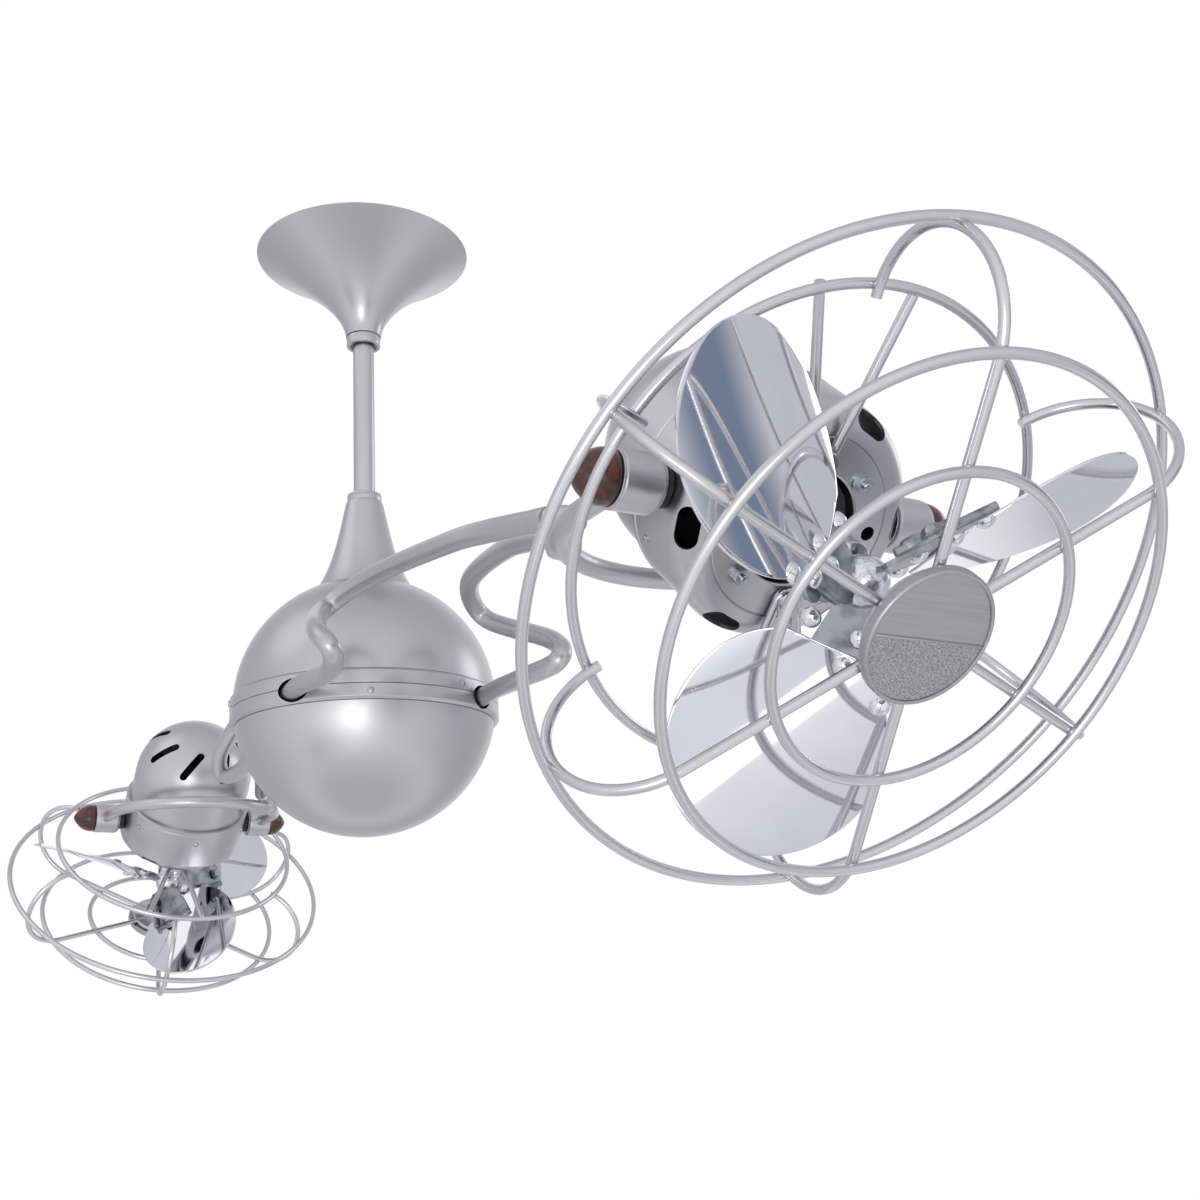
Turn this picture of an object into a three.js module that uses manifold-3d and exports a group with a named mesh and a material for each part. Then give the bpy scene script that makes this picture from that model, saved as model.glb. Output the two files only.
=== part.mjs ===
// Double-headed ceiling fan, in millimetres, +Z up.
// The origin is on the ceiling, on the axis of the rod. The arms' line is X, with head a at +X.
import * as THREE from "three";
import { mergeVertices } from "three/addons/utils/BufferGeometryUtils.js";
import Module from "manifold-3d";

const wasm = await Module();
wasm.setup();

// Driving dimensions: clearances and shared allowances
const fit = 0.3; // gap between pieces that touch
const overrun = 2; // how far a cut runs past the faces it opens
const weldSink = 2; // how deep two welded wires sink into each other
const mergeGap = 0.0001; // points of one surface closer than this are one point

// Driving dimensions: centre ball
const ballDrop = 466; // ball centre below the ceiling
const ballRadius = 120;
const shellWall = 2.5;
const bandTop = 7; // upper groove of the belt, above the ball centre
const bandHeight = 27; // both halves of the belt together
const bandProud = 2.6; // how far the belt stands out of the ball
const bandWall = 6;
const bandChamfer = 2.4;
const collarSeamHeight = 110; // seam between ball and cone, above the ball centre

// Driving dimensions: rod, cone and collars
const rodRadius = 10.3;
const rodWall = 2;
const rodTopRise = 9; // how far the rod stands out of the hanger ball
const coneTopHeight = 199.7; // above the ball centre
const coneTopRadius = 17.6;
const coneFootRadius = 46.4;
const coneWall = 1.6;
const couplingHeight = 8;
const couplingRadius = 16.4;

// Driving dimensions: canopy
const canopyRimGap = 1; // below the ceiling
const canopyRadius = 105;
const canopyDepth = 89;
const canopyNeckRadius = 17.4;
const canopyWall = 1.4;
const canopyCollarHeight = 10;
const canopyCollarRadius = 16.5;
const canopyCollarMouth = 13; // radius of the recess round the rod
const canopyMouthDepth = 4;

// Driving dimensions: hanger bracket and hanger ball
const bracketLength = 150;
const bracketWidth = 30;
const bracketPlate = 3;
const bracketDrop = 44;
const strapSpacing = 50; // between the inner faces of the two straps
const bracketScrewSpacing = 104;
const bracketScrewRadius = 2.6;
const hangerBallRadius = 19;
const hangerSeatRadius = 14.5;
const hangerPinRadius = 3;
const hangerPinLength = 33;

// Driving dimensions: spindle, bearings and slip ring
const spindleRadius = 8;
const spindleBore = 5;
const spindleSleeve = 24; // length held inside the rod
const bearingRadius = 17;
const bearingHeight = 10;
const bearingSpacing = 70; // between the two bearings' centres
const lowerBearingHeight = -14; // lower bearing's centre from the ball centre
const retainerRadius = 13;
const retainerHeight = 9;
const slipRingRadius = 16;
const slipRingHeight = 20;

// Driving dimensions: arm plate inside the ball
const armPlateThickness = 4;
const armPlateTop = -18.2; // from the ball centre
const clampLength = 48;
const clampWall = 5;
const clampTop = 3; // from the ball centre
const brushDepth = 12;
const brushWidth = 16;

// Driving dimensions: yokes and arms
const pivotReach = 622; // pivot centre from the rod's axis
const pivotHeight = -15; // pivot centre from the ball centre
const yokeTubeRadius = 7;
const yokeBendRadius = 97; // half the distance between the yoke's legs
const yokeLeg = 50; // straight run from the pivot line to the bend
const barrelRadius = 17.5;
const barrelLength = 27;
const barrelChamfer = 1.5;
const knuckleRadius = 13;
const knuckleTop = 27; // above the yoke's plane
const knuckleRound = 5;
const armTubeRadius = 8;
const armSlotClearance = 2.4;
const armInnerEnd = 4; // arm end from the middle of the arm plate
const finialLength = 24;
const finialRadius = 16.3;
const finialCollar = 3; // straight foot of the finial
const washerRadius = 12.5;
const washerThickness = 7.2;
const pinRadius = 5;
const pinGrip = 5; // how far the pin reaches into the finial
const pinInnerReach = 58; // inner end of the pin from the head's axis

// Driving dimensions: motor housing, along the head's own axis
const cupRadius = 74.5;
const cupRear = -31;
const cupFront = 32;
const cupRound = 16;
const cupWall = 2;
const cupLip = 3;
const cupMouthRadius = 35;
const domeRadius = 70;
const domeCentre = -66;
const domeFront = -25;
const domeWall = 2;
const ventLength = 25; // oval openings in the cup's rounded edge
const ventWidth = 14;
const louvreLength = 40; // slots in the dome
const louvreWidth = 9;
const coreRadius = 62;
const coreRear = -58;
const coreFront = 12;
const coreBackRadius = 49;
const coreBossRadius = 20;
const coreBossStart = -106;
const coreNoseRadius = 33;
const coreNoseFront = 27;
const shaftBoreEnd = -34;

// Driving dimensions: cage, along the head's own axis
const wireRadius = 3;
const backRingRadius = 143.4;
const backRingPlace = 44.3;
const outerRingRadius = 191.5;
const frontRingRadius = 144.4;
const frontRingPlace = 152.4;
const innerRingRadius = 86.6;
const ribPlateRadius = 34;
const ribEndStub = 6; // how far a rib's end passes the back ring
const eyeletRadius = 6.9;
const strutBoltRadius = 44;
const legRise = 2.2; // of the strut legs' feet over the eyelet
const boltRadius = 2.5;
const boltHeadRadius = 6.5;
const boltHeadHeight = 5;
const boltShank = 6; // below the front disc
const medallionRadius = 38;
const medallionThickness = 6.5;
const medallionRim = 2.4;
const medallionRecess = 1.2;

// Driving dimensions: rotor, along the head's own axis
const shaftRadius = 6;
const hubRadius = 15;
const hubRear = 66;
const noseRadius = 14.5;
const nosePlace = 96;
const noseNeckRadius = 8;
const bladePlace = 97;
const bladeReach = 174; // tip radius
const bladeRoot = 40; // straight root edge
const bladeHalfWidth = 60;
const bladeShift = -8; // the paddle's middle from its own radial line
const bladeCutRadius = 36; // where the round paddle would end if its root weren't cut
const bladeThickness = 1.6;
const bladeCup = 3; // how far the long edges are drawn back
const ironReach = 72;
const ironWidth = 44;
const ironShift = 6;
const ironThickness = 3;

// Angles in degrees, counts and shares
const tiltA = 46.2; // of head a's axis from straight down
const tiltB = 42.55;
const yokeFlankAngle = 50; // knuckle from the yoke's apex
const ribAngle = 40;
const strutAngle = 100;
const strutSpread = 12; // from the bolt to each leg's end
const ventAngle = 10;
const louvrePolarAngle = 50;
const louvreSlant = 24;
const bladeAngle = 149;
const bladePitch = 37;
const bladeTwist = 7; // pitch lost from the paddle's middle to its tip
const ribCount = 6;
const strutCount = 2;
const ventCount = 6;
const louvreCount = 8;
const bladeCount = 3;
const shellSides = 30; // of the large turned pieces
const motorSides = 20;
const barrelSides = 14;
const boltSides = 6;
const wireSides = 4;
const armSides = 6;
const armSteps = 27;
const domeInnerSteps = 4; // facets of the dome's inner face from its rim to its tip
const canopyFlareShare = 1.7; // power of the canopy's flare
const ringSegmentsShare = 0.42; // segments of a ring to each wire radius of its own radius
const coneStraightShare = 0.65; // share of the cone's flare that is straight
// Each arm's way out of the ball as shares of the ball's radius: along, sideways and up
const armRootShares = [
  [0.8661, 0.6968, -0.0774],
  [1.6841, 0.6474, -0.1667],
];
// The rest of each arm's route as shares of its reach: along, sideways and up
const armRouteShares = [
  [0.5155, 0.173, -0.038],
  [0.4672, 0.1856, 0.0082],
  [0.2911, 0.1358, 0.0901],
  [0.3796, 0.0802, 0.1221],
  [0.6637, 0.0446, 0.0839],
  [0.8341, 0.0416, 0.044],
];

// Places worked out from the dimensions above
const bandFoot = bandTop - bandHeight;
const bandSeam = bandTop - bandHeight / 2;
const bandRadius = ballRadius + bandProud;
const bandBore = ballRadius - bandWall;
const couplingFoot = coneTopHeight + fit;
const rodFoot = couplingFoot + couplingHeight / 2;
const rodBore = rodRadius - rodWall;
const seatLift = Math.sqrt((hangerBallRadius + fit) ** 2 - hangerSeatRadius ** 2);
const hangerBallPlace = -bracketDrop + seatLift;
const rodTop = hangerBallPlace + hangerBallRadius + rodTopRise;
const upperBearingHeight = lowerBearingHeight + bearingSpacing;
const housingBore = (bearingRadius + fit) / Math.cos(Math.PI / barrelSides); // its flats clear the ring
const housingRadius = housingBore + clampWall;
const housingTop = upperBearingHeight + bearingHeight / 2;
const slipRingFoot = housingTop + clampWall;
const pinBore = pinRadius + fit;
const barrelInner = cupRadius + washerThickness + 2 * fit;
const barrelOuter = barrelInner + barrelLength;
const flank = THREE.MathUtils.degToRad(yokeFlankAngle);
const knuckleX = pivotReach - yokeLeg - yokeBendRadius * Math.cos(flank);
const knuckleY = -yokeBendRadius * Math.sin(flank);
const armAzimuth = Math.atan2(knuckleY, knuckleX);
const armReach = Math.hypot(knuckleX, knuckleY);
const ribPlane = frontRingPlace - 2 * wireRadius + weldSink;
const ribEndPlane = backRingPlace + 2 * wireRadius - weldSink;
const ribBend = (ribPlane - ribEndPlane) / 2;
const outerRingPlace = (ribPlane + ribEndPlane) / 2;
const wireReach = cornerRadius(wireRadius, wireSides);
const ribBendStart = backRingRadius - ribEndStub;
const ribReach = outerRingRadius - 2 * wireRadius + weldSink - ribBendStart;
const eyeletPlane = cupFront + fit + wireReach;
const bladeMiddle = (bladeReach + bladeCutRadius) / 2;
const bladeHalfLength = (bladeReach - bladeCutRadius) / 2;

const X = new THREE.Vector3(1, 0, 0);
const Y = new THREE.Vector3(0, 1, 0);
const Z = new THREE.Vector3(0, 0, 1);

// Materials
function paint(name, color, roughness, metalness) {
  return new THREE.MeshStandardMaterial({ name, color, roughness, metalness });
}
const nickel = paint("satin nickel", 0xb5b5b8, 0.38, 0.85);
const chrome = paint("polished chrome", 0xdfe2e6, 0.08, 1);
const steel = paint("zinc plated steel", 0x9a9ca0, 0.35, 0.9);
const brass = paint("brass", 0xb8924a, 0.3, 0.9);
const blackEnamel = paint("black enamel", 0x141416, 0.45, 0.2);
const blackPlastic = paint("black plastic", 0x1a1a1b, 0.4, 0);
const burlWood = paint("polished burl wood", 0x5a2016, 0.2, 0);

// Makes a closed geometry into a solid that can be joined and cut.
function solid(geometry) {
  const bare = geometry.clone();
  bare.deleteAttribute("normal");
  bare.deleteAttribute("uv");
  const merged = mergeVertices(bare, mergeGap);
  return new wasm.Manifold(
    new wasm.Mesh({
      numProp: 3,
      vertProperties: merged.attributes.position.array,
      triVerts: new Uint32Array(merged.index.array),
    }),
  );
}

// Gives a joined or cut solid back as a geometry.
function geometryOf(body) {
  const made = body.getMesh();
  const geometry = new THREE.BufferGeometry();
  geometry.setAttribute("position", new THREE.BufferAttribute(made.vertProperties, 3));
  geometry.setIndex(new THREE.BufferAttribute(made.triVerts, 1));
  const faceted = geometry.toNonIndexed();
  faceted.computeVertexNormals();
  return faceted;
}

function join(...geometries) {
  const solids = geometries.map(solid);
  return geometryOf(solids.reduce((whole, next) => whole.add(next)));
}

function cut(geometry, ...cutters) {
  const start = solid(geometry);
  return geometryOf(cutters.reduce((left, cutter) => left.subtract(solid(cutter)), start));
}

function piece(name, geometry, material) {
  const mesh = new THREE.Mesh(geometry, material);
  mesh.name = name;
  return mesh;
}

// A solid turned about Z from [radius, height] points, from the lower end of the axis to its upper end.
function turned(points, segments) {
  const profile = points.map(([radius, height]) => new THREE.Vector2(radius, height));
  return new THREE.LatheGeometry(profile, segments).rotateX(Math.PI / 2);
}

// A ring of rectangular section about Z.
function ring(inner, outer, foot, top, segments) {
  const corners = [
    [inner, foot],
    [outer, foot],
    [outer, top],
    [inner, top],
    [inner, foot],
  ];
  return turned(corners, segments);
}

function rod(radius, foot, top, segments) {
  const corners = [
    [0, foot],
    [radius, foot],
    [radius, top],
    [0, top],
  ];
  return turned(corners, segments);
}

function box(width, depth, height, x, y, z) {
  return new THREE.BoxGeometry(width, depth, height).translate(x, y, z);
}

// Points of an arc in a turned profile, from one angle to another above the horizontal.
function arc(radius, centreRadius, centreHeight, from, to, steps) {
  const points = [];
  for (let i = 0; i <= steps; i += 1) {
    const angle = from + ((to - from) * i) / steps;
    points.push([
      centreRadius + radius * Math.cos(angle),
      centreHeight + radius * Math.sin(angle),
    ]);
  }
  return points;
}

// Corner radius of a polygon with the area of a circle, so that few sides keep the wire's thickness.
function cornerRadius(radius, sides) {
  const sector = (2 * Math.PI) / sides;
  return radius * Math.sqrt(sector / Math.sin(sector));
}

function tube(curve, radius, sides, steps) {
  const reach = cornerRadius(radius, sides);
  const corners = [];
  for (let i = 0; i < sides; i += 1) {
    const angle = (2 * Math.PI * i) / sides;
    corners.push(new THREE.Vector2(reach * Math.cos(angle), reach * Math.sin(angle)));
  }
  const settings = { steps, bevelEnabled: false, extrudePath: curve };
  return new THREE.ExtrudeGeometry(new THREE.Shape(corners), settings);
}

// A prism with round ends, centred on the origin, long along X and deep along Z.
function roundEndedPrism(length, width, depth, steps) {
  const half = (length - width) / 2;
  const shape = new THREE.Shape();
  shape.absarc(half, 0, width / 2, -Math.PI / 2, Math.PI / 2, false);
  shape.absarc(-half, 0, width / 2, Math.PI / 2, (3 * Math.PI) / 2, false);
  const settings = { depth, bevelEnabled: false, curveSegments: steps };
  return new THREE.ExtrudeGeometry(shape, settings).translate(0, 0, -depth / 2);
}

// A smooth path through points, stepped by its own parameter, so that the steps are closer in its bends.
class RouteCurve extends THREE.CatmullRomCurve3 {
  getPointAt(share, target) {
    return this.getPoint(share, target);
  }

  getTangentAt(share, target) {
    return this.getTangent(share, target);
  }
}

// A path that runs straight, turns back through half an ellipse and may run straight again.
// Each straight run is one step and the half ellipse has the other steps.
class HookCurve extends THREE.Curve {
  constructor(start, along, side, before, reach, radius, after, bendSteps) {
    super();
    Object.assign(this, { start, along, side, before, reach, radius, after, bendSteps });
    this.steps = bendSteps + (after > 0 ? 2 : 1);
  }

  getPointAt(share, target = new THREE.Vector3()) {
    const step = share * this.steps;
    const bent = THREE.MathUtils.clamp(step - 1, 0, this.bendSteps);
    const turn = (Math.PI * bent) / this.bendSteps;
    const ahead = this.before * Math.min(step, 1);
    const back = this.after * Math.max(step - 1 - this.bendSteps, 0);
    return target
      .copy(this.start)
      .addScaledVector(this.along, ahead - back + this.reach * Math.sin(turn))
      .addScaledVector(this.side, this.radius * (1 - Math.cos(turn)));
  }

  getTangentAt(share, target = new THREE.Vector3()) {
    const bent = THREE.MathUtils.clamp(share * this.steps - 1, 0, this.bendSteps);
    const turn = (Math.PI * bent) / this.bendSteps;
    return target
      .set(0, 0, 0)
      .addScaledVector(this.along, this.reach * Math.cos(turn))
      .addScaledVector(this.side, this.radius * Math.sin(turn))
      .normalize();
  }
}

// Ceiling mount: hanger, canopy, rod and spindle
function hangerBracket() {
  const strapX = (strapSpacing + bracketPlate) / 2;
  const footWidth = strapSpacing + 2 * bracketPlate;
  const footPlace = -bracketDrop - bracketPlate / 2;
  const strapHeight = bracketDrop + bracketPlate;
  const plate = box(bracketLength, bracketWidth, bracketPlate, 0, 0, -bracketPlate / 2);
  const straps = [-1, 1].map((side) =>
    box(bracketPlate, bracketWidth, strapHeight, side * strapX, 0, -strapHeight / 2),
  );
  const foot = box(footWidth, bracketWidth, bracketPlate, 0, 0, footPlace);
  const seat = rod(
    hangerSeatRadius,
    -bracketDrop - bracketPlate - overrun,
    -bracketDrop + overrun,
    barrelSides,
  );
  const screwHoles = [-1, 1].map((side) =>
    rod(bracketScrewRadius, -bracketPlate - overrun, overrun, boltSides).translate(
      (side * bracketScrewSpacing) / 2,
      0,
      0,
    ),
  );
  return cut(join(plate, ...straps, foot), seat, ...screwHoles);
}

function hangerBall() {
  const ball = new THREE.SphereGeometry(hangerBallRadius, barrelSides, boltSides);
  const reach = hangerBallRadius + overrun;
  const bore = rod(rodRadius + fit, -reach, reach, barrelSides);
  const cross = rod(hangerPinRadius + fit, -reach, reach, boltSides).rotateY(Math.PI / 2);
  return cut(ball, bore, cross).translate(0, 0, hangerBallPlace);
}

function hangerPin() {
  const half = hangerPinLength / 2;
  return rod(hangerPinRadius, -half, half, boltSides)
    .rotateY(Math.PI / 2)
    .translate(0, 0, hangerBallPlace);
}

function downrod() {
  const pipe = ring(rodBore, rodRadius, -ballDrop + rodFoot + fit, rodTop, motorSides);
  const half = rodRadius + overrun;
  const cross = rod(hangerPinRadius + fit, -half, half, boltSides)
    .rotateY(Math.PI / 2)
    .translate(0, 0, hangerBallPlace);
  return cut(pipe, cross);
}

function canopy() {
  const steps = 7;
  const outer = [];
  for (let i = 0; i <= steps; i += 1) {
    const share = i / steps;
    const flare = share ** canopyFlareShare;
    outer.push([
      canopyNeckRadius + (canopyRadius - canopyNeckRadius) * flare,
      -canopyRimGap - canopyDepth * (1 - share),
    ]);
  }
  const inner = outer.map(([radius, height]) => [
    radius - canopyWall,
    height + canopyWall * Math.min(1, (radius - canopyNeckRadius) / canopyNeckRadius),
  ]);
  inner[steps][1] = outer[steps][1];
  return turned([...outer, ...inner.reverse(), outer[0]], shellSides);
}

function canopyCollar() {
  const top = -canopyRimGap - canopyDepth - fit;
  const foot = top - canopyCollarHeight;
  const step = foot + canopyMouthDepth;
  const bore = rodRadius + fit;
  const points = [
    [canopyCollarMouth, foot],
    [canopyCollarRadius, foot],
    [canopyCollarRadius, top],
    [bore, top],
    [bore, step],
    [canopyCollarMouth, step],
    [canopyCollarMouth, foot],
  ];
  return turned(points, motorSides);
}

function couplingCollar() {
  const top = couplingFoot + couplingHeight;
  const points = [
    [spindleRadius + fit, couplingFoot],
    [couplingRadius, couplingFoot],
    [couplingRadius, top],
    [rodRadius + fit, top],
    [rodRadius + fit, rodFoot],
    [spindleRadius + fit, rodFoot],
    [spindleRadius + fit, couplingFoot],
  ];
  return turned(points, motorSides);
}

function spindle() {
  const top = rodFoot + spindleSleeve;
  const bearingFoot = lowerBearingHeight - bearingHeight / 2;
  const shoulderFoot = housingTop + fit;
  const sleeveRadius = rodBore - fit;
  const points = [
    [spindleBore, bearingFoot - fit - retainerHeight],
    [retainerRadius, bearingFoot - fit - retainerHeight],
    [retainerRadius, bearingFoot - fit],
    [spindleRadius, bearingFoot - fit],
    [spindleRadius, rodFoot],
    [sleeveRadius, rodFoot + fit],
    [sleeveRadius, top],
    [spindleBore, top],
    [spindleBore, bearingFoot - fit - retainerHeight],
  ];
  const collar = ring(
    spindleRadius - weldSink,
    retainerRadius,
    shoulderFoot,
    shoulderFoot + clampWall - 2 * fit,
    barrelSides,
  );
  return join(turned(points, barrelSides), collar);
}

function bearing(height) {
  const half = bearingHeight / 2;
  return ring(spindleRadius + fit, bearingRadius, height - half, height + half, barrelSides);
}

function slipRing() {
  return ring(
    spindleRadius + fit,
    slipRingRadius,
    slipRingFoot,
    slipRingFoot + slipRingHeight,
    barrelSides,
  );
}

// Turning body: cone, ball, belt and arm plate
function stemCone() {
  const steps = 6;
  const height = coneTopHeight - collarSeamHeight - fit;
  const outer = [];
  for (let i = 0; i <= steps; i += 1) {
    const share = i / steps;
    const flare = coneStraightShare * share + (1 - coneStraightShare) * share ** 4;
    outer.push([
      coneTopRadius + (coneFootRadius - coneTopRadius) * flare,
      coneTopHeight - height * share,
    ]);
  }
  outer.reverse();
  const inner = outer.map(([radius, place]) => [radius - coneWall, place]);
  return turned([...outer, ...inner.reverse(), outer[0]], motorSides);
}

function ballShell(radius, from, to, steps) {
  const foot = Math.asin(from / radius);
  const top = Math.asin(to / radius);
  const outer = arc(radius, 0, 0, foot, top, steps);
  const bore = radius - shellWall;
  const innerFoot = Math.asin(Math.max(from / bore, -1));
  const innerTop = Math.asin(to / bore);
  const inner = arc(bore, 0, 0, innerTop, innerFoot, Math.ceil(steps / 2));
  return [...outer, ...inner];
}

function upperShell() {
  const points = ballShell(ballRadius, bandTop + fit, collarSeamHeight, 5);
  return turned([...points, points[0]], shellSides);
}

function lowerShell() {
  const points = ballShell(ballRadius, -ballRadius, bandFoot - fit, 7);
  return turned(points, shellSides);
}

// Half of the belt, with its outer edge next to the ball chamfered and the arm slots cut through.
function band(foot, top, chamferAtTop) {
  const seam = bandRadius;
  const edge = bandRadius - bandChamfer;
  const points = chamferAtTop
    ? [
        [bandBore, foot],
        [seam, foot],
        [seam, top - bandChamfer],
        [edge, top],
        [bandBore, top],
        [bandBore, foot],
      ]
    : [
        [bandBore, foot],
        [edge, foot],
        [seam, foot + bandChamfer],
        [seam, top],
        [bandBore, top],
        [bandBore, foot],
      ];
  const slots = [];
  for (const turn of [0, Math.PI]) {
    for (const side of [-1, 1]) {
      slots.push(
        tube(armEntry(side), armTubeRadius + armSlotClearance, boltSides, 1).rotateZ(
          armAzimuth + turn,
        ),
      );
    }
  }
  return cut(turned(points, shellSides), ...slots);
}

// Plate that carries the arms and the bearing housing inside the ball.
function armPlate() {
  const foot = armPlateTop - armPlateThickness;
  const disc = rod(bandBore - fit, foot, armPlateTop, shellSides);
  const housing = rod(housingRadius, foot, housingTop, barrelSides);
  const lowerTop = lowerBearingHeight + bearingHeight / 2 + fit;
  const upperFoot = upperBearingHeight - bearingHeight / 2 - fit;
  const bore = turned(
    [
      [0, foot - overrun],
      [housingBore, foot - overrun],
      [housingBore, lowerTop],
      [retainerRadius, lowerTop],
      [retainerRadius, upperFoot],
      [housingBore, upperFoot],
      [housingBore, housingTop + overrun],
      [0, housingTop + overrun],
    ],
    barrelSides,
  );
  const clampWidth = 2 * (armTubeRadius + clampWall);
  const clampHeight = clampTop - armPlateTop + weldSink;
  const clamps = [-1, 1].map((side) =>
    box(
      clampLength,
      clampWidth,
      clampHeight,
      0,
      side * armRootShares[0][1] * ballRadius,
      clampTop - clampHeight / 2,
    ).rotateZ(armAzimuth),
  );
  const grooves = [];
  for (const turn of [0, Math.PI]) {
    for (const side of [-1, 1]) {
      grooves.push(
        tube(armCurve(side), armTubeRadius + fit, armSides, armSteps).rotateZ(
          armAzimuth + turn,
        ),
      );
    }
  }
  const reach = 2 * armInnerEnd + overrun;
  const middles = [-1, 1].map((side) =>
    rod(armTubeRadius + fit, -reach, reach, boltSides)
      .rotateY(Math.PI / 2)
      .translate(0, side * armRootShares[0][1] * ballRadius, armRootShares[0][2] * ballRadius)
      .rotateZ(armAzimuth),
  );
  return cut(join(disc, housing, ...clamps), bore, ...grooves, ...middles);
}

function brushBlock() {
  const inner = slipRingRadius + fit;
  const foot = housingTop + fit;
  const height = slipRingFoot + slipRingHeight - foot;
  return box(brushDepth, brushWidth, height, inner + brushDepth / 2, 0, foot + height / 2);
}

function armPlace([along, across, up], size, side) {
  return new THREE.Vector3(along * size, side * across * size, up * size);
}

// Centre line of one arm, from the middle of the ball to the knuckle, along X.
function armCurve(side) {
  const places = [
    ...armRootShares.map((shares) => armPlace(shares, ballRadius, side)),
    ...armRouteShares.map((shares) => armPlace(shares, armReach, side)),
  ];
  const first = places[0];
  const start = new THREE.Vector3(armInnerEnd, first.y, first.z);
  const end = new THREE.Vector3(
    armReach,
    side * (armTubeRadius + fit / 2),
    pivotHeight + knuckleTop - knuckleRound - armTubeRadius / 2,
  );
  return new RouteCurve([start, ...places, end], false, "catmullrom", 0.5);
}

// The stretch of an arm that passes through the belt.
function armEntry(side) {
  const curve = armCurve(side);
  const middle = curve.points[1];
  const along = curve.getTangentAt(1 / (curve.points.length - 1));
  const reach = ballRadius / 2;
  return new THREE.LineCurve3(
    middle.clone().addScaledVector(along, -reach),
    middle.clone().addScaledVector(along, armTubeRadius),
  );
}

function armTube(side) {
  const line = tube(armCurve(side), armTubeRadius, armSides, armSteps).rotateZ(armAzimuth);
  return cut(line, knuckle(fit));
}

// Vertical block that joins the two arms and the yoke.
function knuckle(allowance) {
  const radius = knuckleRadius + allowance;
  const foot = pivotHeight - yokeTubeRadius - allowance;
  const top = pivotHeight + knuckleTop + allowance;
  const points = [
    [0, foot],
    [radius - knuckleRound, foot],
    [radius, foot + knuckleRound],
    [radius, top - knuckleRound],
    [radius - knuckleRound, top],
    [0, top],
  ];
  return turned(points, barrelSides).translate(knuckleX, knuckleY, 0);
}

function barrel(side) {
  const points = [
    [pinBore, barrelInner],
    [barrelRadius - barrelChamfer, barrelInner],
    [barrelRadius, barrelInner + barrelChamfer],
    [barrelRadius, barrelOuter],
    [pinBore, barrelOuter],
    [pinBore, barrelInner],
  ];
  return alongY(turned(points, barrelSides), side);
}

// Lays a solid that was turned about Z along the pivot line, on the +Y or the -Y side.
function alongY(geometry, side) {
  return geometry.rotateX((-side * Math.PI) / 2).translate(pivotReach, 0, pivotHeight);
}

function yoke() {
  const legStart = pinBore + fit + yokeTubeRadius / 2;
  const start = new THREE.Vector3(pivotReach - legStart, yokeBendRadius, pivotHeight);
  const path = new HookCurve(
    start,
    X.clone().negate(),
    Y.clone().negate(),
    yokeLeg - legStart,
    yokeBendRadius,
    yokeBendRadius,
    yokeLeg - legStart,
    12,
  );
  const bow = tube(path, yokeTubeRadius, armSides, path.steps);
  return join(bow, barrel(1), barrel(-1), knuckle(0));
}

function finial(side) {
  const foot = barrelOuter + fit;
  const straight = foot + finialCollar;
  const steps = 4;
  const dome = [];
  for (let i = 0; i <= steps; i += 1) {
    const angle = (Math.PI / 2) * (i / steps);
    dome.push([
      i === steps ? 0 : finialRadius * Math.cos(angle),
      straight + (finialLength - finialCollar) * Math.sin(angle),
    ]);
  }
  const socketEnd = foot + pinGrip;
  const socket = [
    [0, socketEnd],
    [pinBore, socketEnd],
    [pinBore, foot],
    [finialRadius, foot],
  ];
  return alongY(turned([...socket, ...dome], barrelSides), side);
}

// Head pieces, about the head's own axis Z with the pivot line along X
function rearDome() {
  const inner = domeRadius - domeWall;
  const points = [
    ...arc(domeRadius, 0, domeCentre, -Math.PI / 2, 0, 5),
    [domeRadius, domeFront],
    [inner, domeFront],
    ...arc(inner, 0, domeCentre, 0, -Math.PI / 2, domeInnerSteps),
  ];
  const polar = THREE.MathUtils.degToRad(louvrePolarAngle);
  const slots = [];
  for (let i = 0; i < louvreCount; i += 1) {
    slots.push(
      roundEndedPrism(louvreLength, louvreWidth, domeRadius / 3, 2)
        .rotateZ(THREE.MathUtils.degToRad(louvreSlant))
        .translate(0, 0, -domeRadius)
        .rotateY(polar)
        .translate(0, 0, domeCentre)
        .rotateZ((2 * Math.PI * (i + 1 / 2)) / louvreCount),
    );
  }
  return cut(turned(points, motorSides), ...slots);
}

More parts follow.
